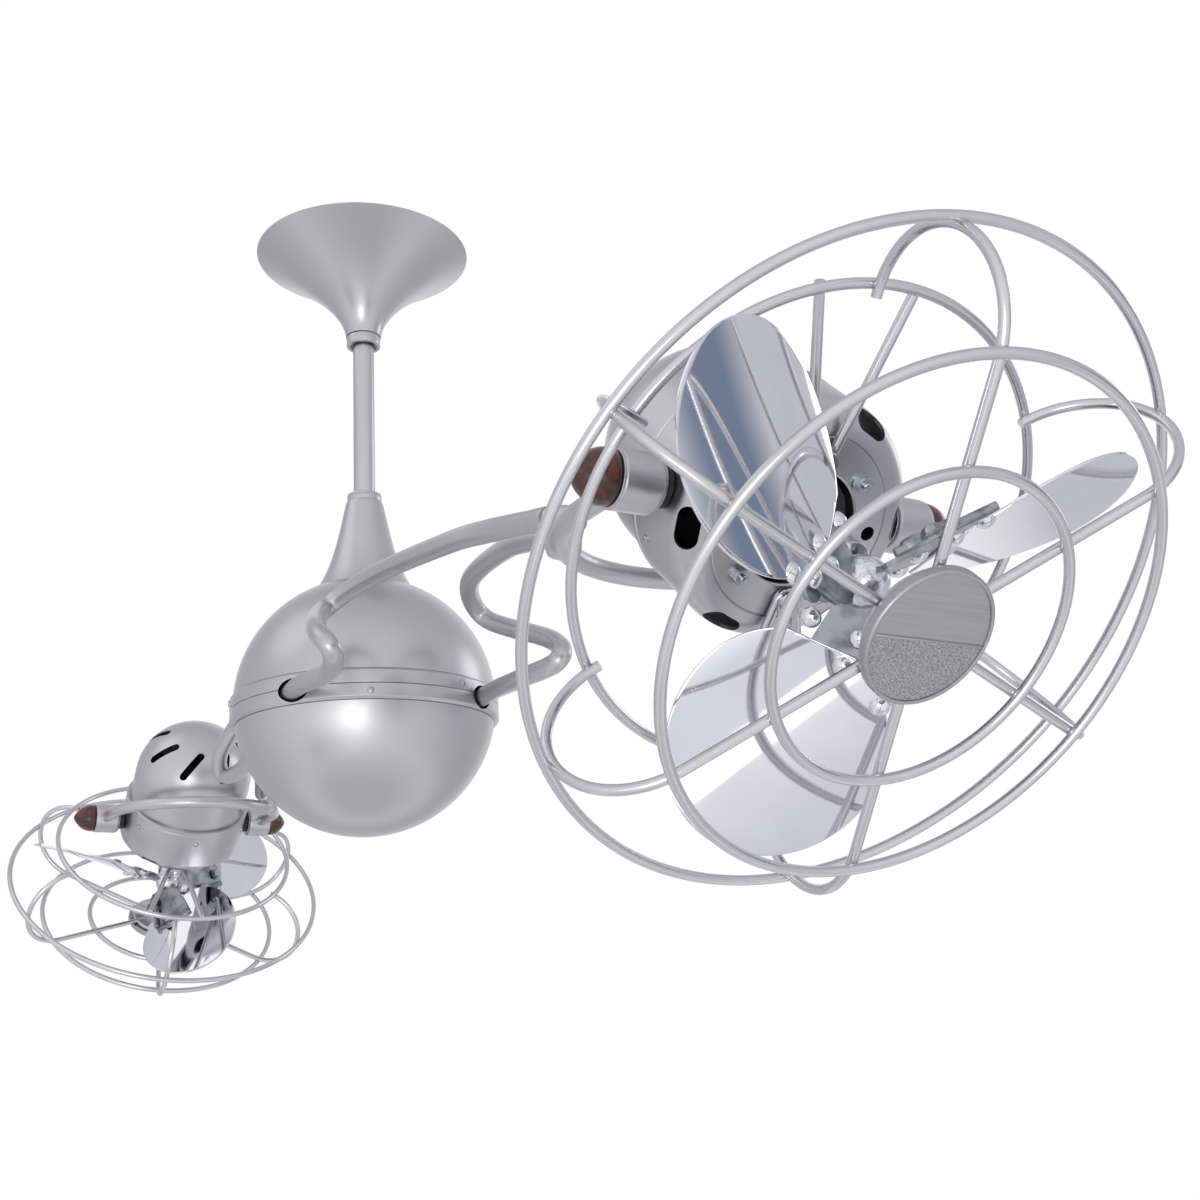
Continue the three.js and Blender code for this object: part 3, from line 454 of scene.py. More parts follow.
def free():
    """Leaves edit mode and deselects everything, so that an operator acts on its own piece only."""
    if bpy.context.object is not None and bpy.context.object.mode != "OBJECT":
        bpy.ops.object.mode_set(mode="OBJECT")
    bpy.ops.object.select_all(action="DESELECT")


def pick(*pieces):
    """Selects these pieces alone and makes the first one active."""
    free()
    for piece in pieces:
        piece.select_set(True)
    bpy.context.view_layer.objects.active = pieces[0]


def named(piece, name):
    piece.name = name
    piece.data.name = name
    return piece


def closed_up(piece, sharp=32):
    """Merges doubled points, turns all faces outwards and shades smooth up to the sharp angle."""
    pick(piece)
    bpy.ops.object.mode_set(mode="EDIT")
    bpy.ops.mesh.select_all(action="SELECT")
    bpy.ops.mesh.remove_doubles(threshold=mm(0.004))
    bpy.ops.mesh.normals_make_consistent(inside=False)
    bpy.ops.object.mode_set(mode="OBJECT")
    bpy.ops.object.shade_smooth_by_angle(angle=math.radians(sharp))
    return piece


def arc(radius, centre_radius, centre_height, start, end, steps):
    """Profile points on an arc from one angle to another, in degrees."""
    points = []
    for i in range(steps + 1):
        angle = math.radians(start + (end - start) * i / steps)
        points.append((centre_radius + radius * math.cos(angle), centre_height + radius * math.sin(angle)))
    return points


def rounded(points, radius, steps=3):
    """The same profile with each inner corner rounded off."""
    made = [points[0]]
    for before, corner, after in zip(points, points[1:], points[2:]):
        here = Vector(corner)
        back = Vector(before) - here
        ahead = Vector(after) - here
        bend = back.angle(ahead) if back.length and ahead.length else math.pi
        if bend > math.radians(160):
            made.append(corner)
            continue
        reach = min(radius / math.tan(bend / 2), back.length * 0.45, ahead.length * 0.45)
        start = here + back.normalized() * reach
        end = here + ahead.normalized() * reach
        for i in range(steps + 1):
            share = i / steps
            spot = start.lerp(here, share).lerp(here.lerp(end, share), share)
            made.append((spot.x, spot.y))
    made.append(points[-1])
    return made


def spun(name, profile, steps=96, sharp=32):
    """Draws a profile of [radius, height] points by extrusion and spins it round Z."""
    free()
    bpy.ops.mesh.primitive_plane_add(size=mm(1), location=(0, 0, 0))
    piece = bpy.context.object
    bpy.ops.object.mode_set(mode="EDIT")
    bpy.ops.mesh.select_all(action="SELECT")
    bpy.ops.mesh.merge(type="CENTER")
    here = Vector((0, 0, 0))
    for i, (radius, height) in enumerate(profile):
        there = Vector((mm(radius), 0, mm(height)))
        if i == 0:
            bpy.ops.transform.translate(value=there)
        else:
            bpy.ops.mesh.extrude_vertices_move(TRANSFORM_OT_translate={"value": there - here})
        here = there
    bpy.ops.mesh.select_all(action="SELECT")
    bpy.ops.mesh.spin(steps=steps, angle=math.tau, center=(0, 0, 0), axis=(0, 0, 1))
    return closed_up(named(piece, name), sharp)


def piped(name, points, radius, sides=12, closed=False):
    """A round bar along points, in millimetres."""
    free()
    bpy.ops.curve.primitive_bezier_curve_add(location=(0, 0, 0))
    piece = bpy.context.object
    curve = piece.data
    curve.splines.clear()
    path = curve.splines.new("POLY")
    path.points.add(len(points) - 1)
    for spot, point in zip(path.points, points):
        spot.co = (mm(point[0]), mm(point[1]), mm(point[2]), 1)
    path.use_cyclic_u = closed
    curve.dimensions = "3D"
    curve.bevel_depth = mm(radius)
    curve.bevel_resolution = (sides - 4) // 2
    curve.use_fill_caps = not closed
    bpy.ops.object.convert(target="MESH")
    return closed_up(named(bpy.context.object, name), 50)


def joined(name, *pieces):
    pick(*pieces)
    bpy.ops.object.join()
    return named(bpy.context.object, name)


def changed(piece, kind, **settings):
    """Adds one modifier with its settings and applies it."""
    pick(piece)
    bpy.ops.object.modifier_add(type=kind)
    modifier = piece.modifiers[-1]
    for name, value in settings.items():
        setattr(modifier, name, value)
    bpy.ops.object.modifier_apply(modifier=modifier.name)
    return piece


def cut_away(piece, cutter):
    """Cuts one piece out of another and removes the cutter."""
    changed(piece, "BOOLEAN", operation="DIFFERENCE", solver="EXACT", object=cutter)
    bpy.data.objects.remove(cutter)
    return piece


def moved(piece, place):
    """Moves a piece by a matrix and leaves that place in its mesh."""
    pick(piece)
    piece.matrix_world = place
    bpy.ops.object.transform_apply(location=True, rotation=True, scale=True)
    return piece


def copied(piece, name, place):
    """A copy with its own mesh, put in place."""
    pick(piece)
    bpy.ops.object.duplicate(linked=False)
    return moved(named(bpy.context.object, name), place)


def arrayed(name, piece, places):
    """Copies of one piece at several places, joined into one object."""
    copies = [copied(piece, name, place) for place in places]
    bpy.data.objects.remove(piece)
    return joined(name, *copies) if len(copies) > 1 else copies[0]


def turn_z(degrees):
    return Matrix.Rotation(math.radians(degrees), 4, "Z")


def turn_y(degrees):
    return Matrix.Rotation(math.radians(degrees), 4, "Y")


def shift(x, y, z):
    return Matrix.Translation((mm(x), mm(y), mm(z)))


BALL = shift(0, 0, -BALL_DROP)


def side_place(letter):
    """The frame of one arm pair: the ball's, turned half round for side b."""
    return BALL @ Matrix.Rotation(TURNS[letter], 4, "Z")


def head_place(letter):
    """The frame of one head: Z is the rotor's axis and X the pivot line."""
    angle = math.radians(TILTS[letter])
    axis = Vector((math.sin(angle), 0, -math.cos(angle)))
    pivot_line = Vector((0, 1, 0))
    across = axis.cross(pivot_line)
    turn = Matrix((pivot_line, across, axis)).transposed().to_4x4()
    return side_place(letter) @ shift(PIVOT_REACH, 0, PIVOT_HEIGHT) @ turn


def finished(piece, body, slot, finish, *nodes):
    """Gives a piece its finish and its place in the frame, and hides the CAD nodes it stands for."""
    piece.data.materials.clear()
    piece.data.materials.append(finish)
    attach(piece, body)
    if nodes:
        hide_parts(*nodes)
    return piece


def finish_of(name):
    """One shared material for each finish, made when it is first asked for."""
    if name not in bpy.data.materials:
        FINISHES[name]()
    return bpy.data.materials[name]


FINISHES = {
    "satin_nickel_plate": satin_nickel,
    "nickel_plated_wire": drawn_nickel_wire,
    "polished_chrome": mirror_chrome,
    "hand_polished_casting": hand_polished,
    "galvanised_blade_iron": galvanised_iron,
    "zinc_plated_steel": zinc_plate,
    "lacquered_burl_wood": lacquered_burl,
    "moulded_black_nylon": moulded_black,
    "black_motor_enamel": motor_enamel,
    "cast_aluminium": cast_aluminium,
    "turned_brass": turned_brass,
    "antiqued_cast_badge": cast_badge,
    "brushed_badge_nickel": brushed_badge,
}


# Properties


class FanSizes(bpy.types.PropertyGroup):
    """Sizes that a user may change a little within the frame."""

    wire: bpy.props.FloatProperty(
        name="Guard wire",
        description="Diameter of the guards' round wire",
        default=0.006,
        unit="LENGTH",
    )
    arm: bpy.props.FloatProperty(
        name="Arm tube", description="Diameter of the bent arm tubes", default=0.016, unit="LENGTH"
    )
    yoke: bpy.props.FloatProperty(
        name="Yoke tube", description="Diameter of the yokes' bent tube", default=0.014, unit="LENGTH"
    )
    blade: bpy.props.FloatProperty(
        name="Blade sheet", description="Thickness of the blades' sheet", default=0.0016, unit="LENGTH"
    )


def colour_choice(label, about, code):
    return bpy.props.FloatVectorProperty(
        name=label, description=about, default=colour(code), size=4, min=0, max=1, subtype="COLOR"
    )


class FanColours(bpy.types.PropertyGroup):
    """Colours of the fan's finishes."""

    nickel: colour_choice("Satin nickel", "Plate on the ball, canopy, arms and guards", "C3C2C5")
    chrome: colour_choice("Chrome", "Polish on the blades and hubs", "E6E6EC")
    zinc: colour_choice("Zinc", "Plate on bolts and blade irons", "B4B6BA")
    brass: colour_choice("Brass", "Slip ring inside the ball", "C9A25E")
    burl: colour_choice("Burl", "Middle tone of the wood", "3A0F0A")
    burl_dark: colour_choice("Burl figure", "Darkest tone of the wood", "160504")
    burl_light: colour_choice("Burl highlight", "Lightest tone of the wood", "5E1F14")
    black: colour_choice("Black", "Nylon washers and motor enamel", "151517")


# Pieces


def canopy_profile():
    """The trumpet of the canopy, from its neck to its mouth and back along the inside."""
    steps = 40
    spread = CANOPY_MOUTH - CANOPY_NECK
    outer = []
    inner = []
    for i in range(steps + 1):
        share = i / steps
        radius = CANOPY_NECK + spread * share**CANOPY_FLARE
        height = -CEILING_GAP - CANOPY_DEPTH * (1 - share)
        outer.append((radius, height))
        slope = spread * CANOPY_FLARE * share ** (CANOPY_FLARE - 1) / CANOPY_DEPTH
        scale = CANOPY_WALL / math.hypot(1, slope)
        inner.append((radius - scale, height + scale * slope))
    rim = (CANOPY_MOUTH, -CEILING_GAP)
    inside = [point for point in reversed(inner) if point[1] < -CEILING_GAP - 0.2]
    return [*outer[:-1], rim, (inside[0][0], -CEILING_GAP), *inside[1:], outer[0]]


def heights(name):
    """The foot and the top of a CAD node, in millimetres."""
    low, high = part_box(name)
    return low.z * 1000, high.z * 1000


class FAN_OT_canopy(bpy.types.Operator):
    """Models the canopy, its collar and the rod that hangs from it"""

    bl_idname = "fan.canopy"
    bl_label = "Canopy and rod"

    def execute(self, context):
        nickel = finish_of("satin_nickel_plate")
        cup = spun("canopy_cup", canopy_profile(), steps=128)
        finished(cup, "ceiling_mount", "nickel_steel", nickel, "canopy")
        bore = ROD_RADIUS + FIT
        foot, top = heights("canopy_collar")
        step = foot + COLLAR_STEP
        collar = [
            (NECK_COLLAR_BORE, step),
            (NECK_COLLAR_BORE, foot),
            (NECK_COLLAR_RADIUS, foot),
            (NECK_COLLAR_RADIUS, top),
            (bore, top),
            (bore, step),
            (NECK_COLLAR_BORE, step),
        ]
        ring = spun("canopy_neck_collar", rounded(collar, 0.9), steps=80)
        finished(ring, "ceiling_mount", "nickel_steel", nickel, "canopy_collar")
        foot, top = heights("downrod")
        tube = [(ROD_BORE, foot), (ROD_RADIUS, foot), (ROD_RADIUS, top), (ROD_BORE, top), (ROD_BORE, foot)]
        rod = spun("hanging_rod", rounded(tube, 0.4), steps=64)
        finished(rod, "ceiling_mount", "nickel_steel", nickel, "downrod")
        foot, top = heights("coupling_collar")
        step = foot + COLLAR_STEP + FIT
        groove = top - 2.6
        groove_half = 0.7
        collar = [
            (bore, step),
            (bore, top),
            (FOOT_COLLAR_RADIUS - 0.5, top),
            (FOOT_COLLAR_RADIUS, groove + groove_half),
            (FOOT_COLLAR_RADIUS - 0.8, groove),
            (FOOT_COLLAR_RADIUS, groove - groove_half),
            (FOOT_COLLAR_RADIUS, foot),
            (FOOT_COLLAR_BORE, foot),
            (FOOT_COLLAR_BORE, step),
            (bore, step),
        ]
        ring = spun("rod_foot_collar", rounded(collar, 0.5), steps=80)
        finished(ring, "ceiling_mount", "nickel_steel", nickel, "coupling_collar")
        return {"FINISHED"}


class FAN_OT_ball(bpy.types.Operator):
    """Models the centre ball: its cone, shells, belt and belt screws"""

    bl_idname = "fan.ball"
    bl_label = "Centre ball"

    def execute(self, context):
        nickel = finish_of("satin_nickel_plate")
        self.cone(nickel)
        self.shells(nickel)
        self.belt(nickel)
        self.screws()
        return {"FINISHED"}

    def cone(self, nickel):
        """The cone widens evenly for most of its length and flares out at its foot."""
        outer = []
        steps = 40
        even = 0.65
        for i in range(steps + 1):
            share = i / steps
            flare = CONE_FLARE * (even * share + (1 - even) * share**4)
            outer.append((CONE_TOP_RADIUS + flare, CONE_TOP - CONE_LENGTH * share))
        inner = [(radius - CONE_WALL, height) for radius, height in outer]
        low = heights("stem_cone")[0] + BALL_DROP
        inner[-1] = (inner[-1][0], low)
        outer[-1] = (outer[-1][0], low)
        top = outer[0][1]
        profile = [*reversed(inner), (outer[0][0] - 0.5, top), *outer[1:]]
        profile.append(profile[0])
        piece = moved(spun("stem_cone_cover", profile, steps=112), BALL)
        finished(piece, "turning_body", "nickel_steel", nickel, "stem_cone")

    def shells(self, nickel):
        """The two hollow halves of the ball, each with its wall."""
        bore = BALL_RADIUS - SHELL_WALL
        foot = math.degrees(math.asin((BAND_TOP + FIT) / BALL_RADIUS))
        top = math.degrees(math.asin(COLLAR_SEAM / BALL_RADIUS))
        upper = arc(BALL_RADIUS, 0, 0, foot, top, 48)
        inner_foot = math.degrees(math.asin((BAND_TOP + FIT) / bore))
        inner_top = math.degrees(math.asin(COLLAR_SEAM / bore))
        upper += arc(bore, 0, 0, inner_top, inner_foot, 24)
        upper.append(upper[0])
        piece = moved(spun("upper_ball_half", upper, steps=144), BALL)
        finished(piece, "turning_body", "spun_nickel", nickel, "upper_shell")
        edge = BAND_FOOT - FIT
        foot = math.degrees(math.asin(edge / BALL_RADIUS))
        inner_foot = math.degrees(math.asin(edge / bore))
        lower = arc(BALL_RADIUS, 0, 0, -90, foot, 60)
        lower += arc(bore, 0, 0, inner_foot, -90, 30)
        piece = moved(spun("lower_ball_half", lower, steps=144), BALL)
        finished(piece, "turning_body", "spun_nickel", nickel, "lower_shell")

    def belt(self, nickel):
        """The two halves of the belt, with the slots that the arms leave by."""
        seam_top = BAND_SEAM + FIT / 2
        seam_foot = BAND_SEAM - FIT / 2
        upper = [
            (BAND_BORE, seam_top),
            (BAND_RADIUS, seam_top),
            (BAND_RADIUS, BAND_TOP - BAND_EDGE),
            (BAND_RADIUS - BAND_EDGE, BAND_TOP),
            (BAND_BORE, BAND_TOP),
            (BAND_BORE, seam_top),
        ]
        lower = [
            (BAND_BORE, BAND_FOOT),
            (BAND_RADIUS - BAND_EDGE, BAND_FOOT),
            (BAND_RADIUS, BAND_FOOT + BAND_EDGE),
            (BAND_RADIUS, seam_foot),
            (BAND_BORE, seam_foot),
            (BAND_BORE, BAND_FOOT),
        ]
        for name, node_name, profile in (
            ("belt_upper_half", "upper_band", upper),
            ("belt_lower_half", "lower_band", lower),
        ):
            piece = spun(name, rounded(profile, 0.7), steps=144)
            cutters = [arm_slot(letter, side) for letter in "ab" for side in (-1, 1)]
            cut_away(piece, joined("arm_slots", *cutters))
            closed_up(piece)
            finished(moved(piece, BALL), "turning_body", "spun_nickel", nickel, node_name)

    def screws(self):
        """Six screws in the belt, each at its azimuth and height, two of them in the lower half."""
        zinc = finish_of("zinc_plated_steel")
        screw = round_head("belt_screw", 4.4, 2.5, 5.6, 1.3)
        upper_row = 0.3
        lower_row = -13.3
        places = [
            (21.8, upper_row),
            (-103, upper_row),
            (77, upper_row),
            (201.8, upper_row),
            (-19.8, lower_row),
            (160.2, lower_row),
        ]
        for number, (azimuth, height) in enumerate(places, 1):
            seat = shift(BAND_RADIUS - 0.1, 0, height)
            place = BALL @ turn_z(azimuth) @ seat @ turn_y(90) @ turn_z(35 * number)
            piece = copied(screw, f"belt_screw_{number}", place)
            finished(piece, "turning_body", "zinc_steel", zinc)
        bpy.data.objects.remove(screw)


def round_head(name, crown, sunk, slot_length, slot_depth):
    """A slotted round-head screw, whose crown is a ball sunk below the face that it sits on."""
    foot = -0.9
    profile = [(0, crown - sunk), *arc(crown, 0, -sunk, 85, 42, 6), (crown - 1, foot), (0, foot)]
    return slotted(spun(name, profile, steps=24), slot_length, slot_depth)


def slotted(screw, length, depth):
    """Cuts a screwdriver slot across the top of a screw head."""
    free()
    top = max(vertex.co.z for vertex in screw.data.vertices)
    bpy.ops.mesh.primitive_cube_add(size=1, location=(0, 0, top))
    cutter = bpy.context.object
    cutter.scale = (mm(length * 2), mm(SLOT_WIDTH), mm(depth))
    bpy.ops.object.transform_apply(location=True, rotation=True, scale=True)
    cut_away(screw, cutter)
    return closed_up(screw)


def arm_points(side):
    """The points that one arm passes, from the ball's middle to the knuckle."""
    points = [Vector((x * BALL_RADIUS, side * y * BALL_RADIUS, z * BALL_RADIUS)) for x, y, z in ARM_ROOT]
    points += [Vector((x * ARM_REACH, side * y * ARM_REACH, z * ARM_REACH)) for x, y, z in ARM_ROUTE]
    start = Vector((4, points[0].y, points[0].z))
    end = Vector((ARM_END[0], side * ARM_END[1], ARM_END[2]))
    return [start, *points, end]


def smooth_route(points, steps):
    """A smooth line through points, with its first and last stretch running straight on."""
    line = [2 * points[0] - points[1], *points, 2 * points[-1] - points[-2]]
    made = []
    for before, start, end, after in zip(line, line[1:], line[2:], line[3:]):
        leave = (end - before) / 2
        reach = (after - start) / 2
        for i in range(steps):
            t = i / steps
            square = 3 * (end - start) - 2 * leave - reach
            cube = 2 * (start - end) + leave + reach
            made.append(start + leave * t + square * t * t + cube * t**3)
    made.append(points[-1])
    return made


def arm_slot(letter, side):
    """The bar that cuts one arm's way through the belt."""
    points = arm_points(side)
    middle = points[1]
    along = (points[2] - points[0]).normalized()
    inward = 60
    outward = 30
    slot_radius = 10.4
    ends = [middle - along * inward, middle + along * outward]
    cutter = piped("arm_slot", ends, slot_radius, sides=32)
    return moved(cutter, Matrix.Rotation(ARM_AZIMUTH + TURNS[letter], 4, "Z"))


class FAN_OT_arms(bpy.types.Operator):
    """Models the four bent arm tubes"""

    bl_idname = "fan.arms"
    bl_label = "Arms"

    def execute(self, context):
        nickel = finish_of("satin_nickel_plate")
        radius = context.scene.fan_sizes.arm * 500
        for side, hand in HANDS:
            arm = piped("arm", smooth_route(arm_points(side), 14), radius, sides=28)
            for letter in "ab":
                place = side_place(letter) @ Matrix.Rotation(ARM_AZIMUTH, 4, "Z")
                piece = copied(arm, f"arm_tube_{letter}_{hand}", place)
                finished(piece, "turning_body", "spun_nickel", nickel, f"arm_{letter}_{hand}")
            bpy.data.objects.remove(arm)
        return {"FINISHED"}


def ring_profile(radius, foot, top):
    """The outline of a flat ring on a pivot pin."""
    return [(PIVOT_BORE, foot), (radius, foot), (radius, top), (PIVOT_BORE, top), (PIVOT_BORE, foot)]


class FAN_OT_yokes(bpy.types.Operator):
    """Models the two yokes with their pivot barrels, finials and washers"""

    bl_idname = "fan.yokes"
    bl_label = "Yokes and finials"

    def execute(self, context):
        radius = context.scene.fan_sizes.yoke * 500
        self.yokes(radius)
        self.finials()
        self.washers(
            "tilt_washer",
            "moulded_black_nylon",
            "black_plastic",
            ring_profile(12.5, 74.8, 80.9),
            "pivot_washer",
        )
        self.washers("lock_washer", "zinc_plated_steel", "zinc_steel", ring_profile(15.9, 81, 82))
        return {"FINISHED"}

    def yokes(self, radius):
        """A bent tube with a knuckle and the arms' ends welded to it, and a barrel at each end."""
        nickel = finish_of("satin_nickel_plate")
        leg = YOKE_LEG
        tip = -7
        points = [Vector((tip, YOKE_RADIUS, 0))]
        points += [Vector((-leg * i / 4, YOKE_RADIUS, 0)) for i in range(1, 4)]
        for i in range(49):
            angle = math.pi * i / 48
            points.append(Vector((-leg - YOKE_RADIUS * math.sin(angle), YOKE_RADIUS * math.cos(angle), 0)))
        points += [Vector((-leg * i / 4, -YOKE_RADIUS, 0)) for i in range(3, 0, -1)]
        points.append(Vector((tip, -YOKE_RADIUS, 0)))
        bow = piped("yoke_bow", points, radius, sides=24)
        block = [
            (0, KNUCKLE_FOOT),
            (KNUCKLE_RADIUS, KNUCKLE_FOOT),
            (KNUCKLE_RADIUS + 1, 10),
            (KNUCKLE_RADIUS, KNUCKLE_TOP),
            (0, KNUCKLE_TOP),
        ]
        block = spun("knuckle", rounded(block, 5, steps=5), steps=40)
        flank = math.radians(KNUCKLE_AZIMUTH)
        moved(block, shift(-leg - YOKE_RADIUS * math.cos(flank), -YOKE_RADIUS * math.sin(flank), 0))
        turn = Matrix.Rotation(ARM_AZIMUTH, 4, "Z")
        pivot = Vector((PIVOT_REACH, 0, PIVOT_HEIGHT))
        stub_length = 24
        stub_radius = 8.4
        stubs = []
        for side in (-1, 1):
            line = smooth_route(arm_points(side), 14)
            end = [turn @ point - pivot for point in line if (point - line[-1]).length < stub_length]
            stubs.append(piped("arm_stub", end, stub_radius, sides=24))
        weld = joined("yoke", bow, block, *stubs)
        weld_grain = 1.2
        changed(weld, "REMESH", mode="VOXEL", voxel_size=mm(weld_grain))
        changed(weld, "SMOOTH", factor=0.5, iterations=12)
        barrel = [
            (PIVOT_BORE, BARREL_INNER),
            (BARREL_RADIUS, BARREL_INNER),
            (BARREL_RADIUS, BARREL_OUTER - 2.2),
            (BARREL_RADIUS - 0.7, BARREL_OUTER - 1.6),
            (BARREL_RADIUS - 0.2, BARREL_OUTER),
            (PIVOT_BORE, BARREL_OUTER),
            (PIVOT_BORE, BARREL_INNER),
        ]
        knob = spun("barrel", rounded(barrel, 2.4, steps=5), steps=72)
        quarter_turns = [Matrix.Rotation(turn, 4, "X") for turn in (-math.pi / 2, math.pi / 2)]
        knobs = arrayed("barrels", knob, quarter_turns)
        weld = closed_up(joined("yoke", weld, knobs), 40)
        for letter in "ab":
            place = side_place(letter) @ shift(PIVOT_REACH, 0, PIVOT_HEIGHT)
            piece = copied(weld, f"yoke_bow_{letter}", place)
            finished(piece, "turning_body", "nickel_steel", nickel, f"yoke_{letter}")
        bpy.data.objects.remove(weld)

    def finials(self):
        """Wooden caps that round off to a blunt tip on the outer end of each barrel."""
        burl = finish_of("lacquered_burl_wood")
        foot = BARREL_OUTER + FIT
        socket = foot + 5
        shoulder = 2.6
        profile = [
            (0, socket),
            (PIVOT_BORE, socket),
            (PIVOT_BORE, foot),
            (FINIAL_RADIUS - 1, foot),
            (FINIAL_RADIUS - 0.2, foot + 0.9),
        ]
        for i in range(29):
            share = i / 28
            height = foot + shoulder + (FINIAL_LENGTH - shoulder) * share
            profile.append((FINIAL_RADIUS * (1 - share**2.1) ** 0.8, height))
        finial = spun("finial", profile, steps=64, sharp=50)
        for letter in "ab":
            for side, hand in HANDS:
                place = side_place(letter) @ shift(PIVOT_REACH, 0, PIVOT_HEIGHT)
                place = place @ Matrix.Rotation(-side * math.pi / 2, 4, "X")
                piece = copied(finial, f"wood_finial_{letter}_{hand}", place)
                finished(piece, "turning_body", "burl_wood", burl, f"finial_{letter}_{hand}")
        bpy.data.objects.remove(finial)

    def washers(self, name, finish, slot, profile, stands_for=None):
        """One ring on each pivot, between the barrel and the motor cup."""
        washer = spun(name, rounded(profile, 0.8), steps=48)
        for letter in "ab":
            for side, hand in HANDS:
                place = head_place(letter) @ Matrix.Rotation(side * math.pi / 2, 4, "Y")
                piece = copied(washer, f"{name}_{letter}_{hand}", place)
                nodes = [f"{stands_for}_{letter}_{hand}"] if stands_for else []
                finished(piece, f"head_{letter}", slot, finish_of(finish), *nodes)
        bpy.data.objects.remove(washer)


def stadium(name, length, width, depth):
    """A bar with two half-round ends, for cutting a slot."""
    free()
    bpy.ops.mesh.primitive_cube_add(size=1, location=(0, 0, 0))
    bar = bpy.context.object
    bar.scale = (mm(length), mm(width), mm(depth))
    bpy.ops.object.transform_apply(location=True, rotation=True, scale=True)
    bpy.ops.object.mode_set(mode="EDIT")
    bpy.ops.mesh.select_all(action="DESELECT")
    bpy.ops.mesh.select_mode(type="EDGE")
    bpy.ops.object.mode_set(mode="OBJECT")
    for edge in bar.data.edges:
        ends = [bar.data.vertices[i].co for i in edge.vertices]
        edge.select = abs(ends[0].z - ends[1].z) > mm(depth) / 2
    bpy.ops.object.mode_set(mode="EDIT")
    bpy.ops.mesh.bevel(offset=mm(width) * 0.4999, segments=10, profile=0.5)
    bpy.ops.mesh.select_mode(type="VERT")
    bpy.ops.object.mode_set(mode="OBJECT")
    return named(bar, name)


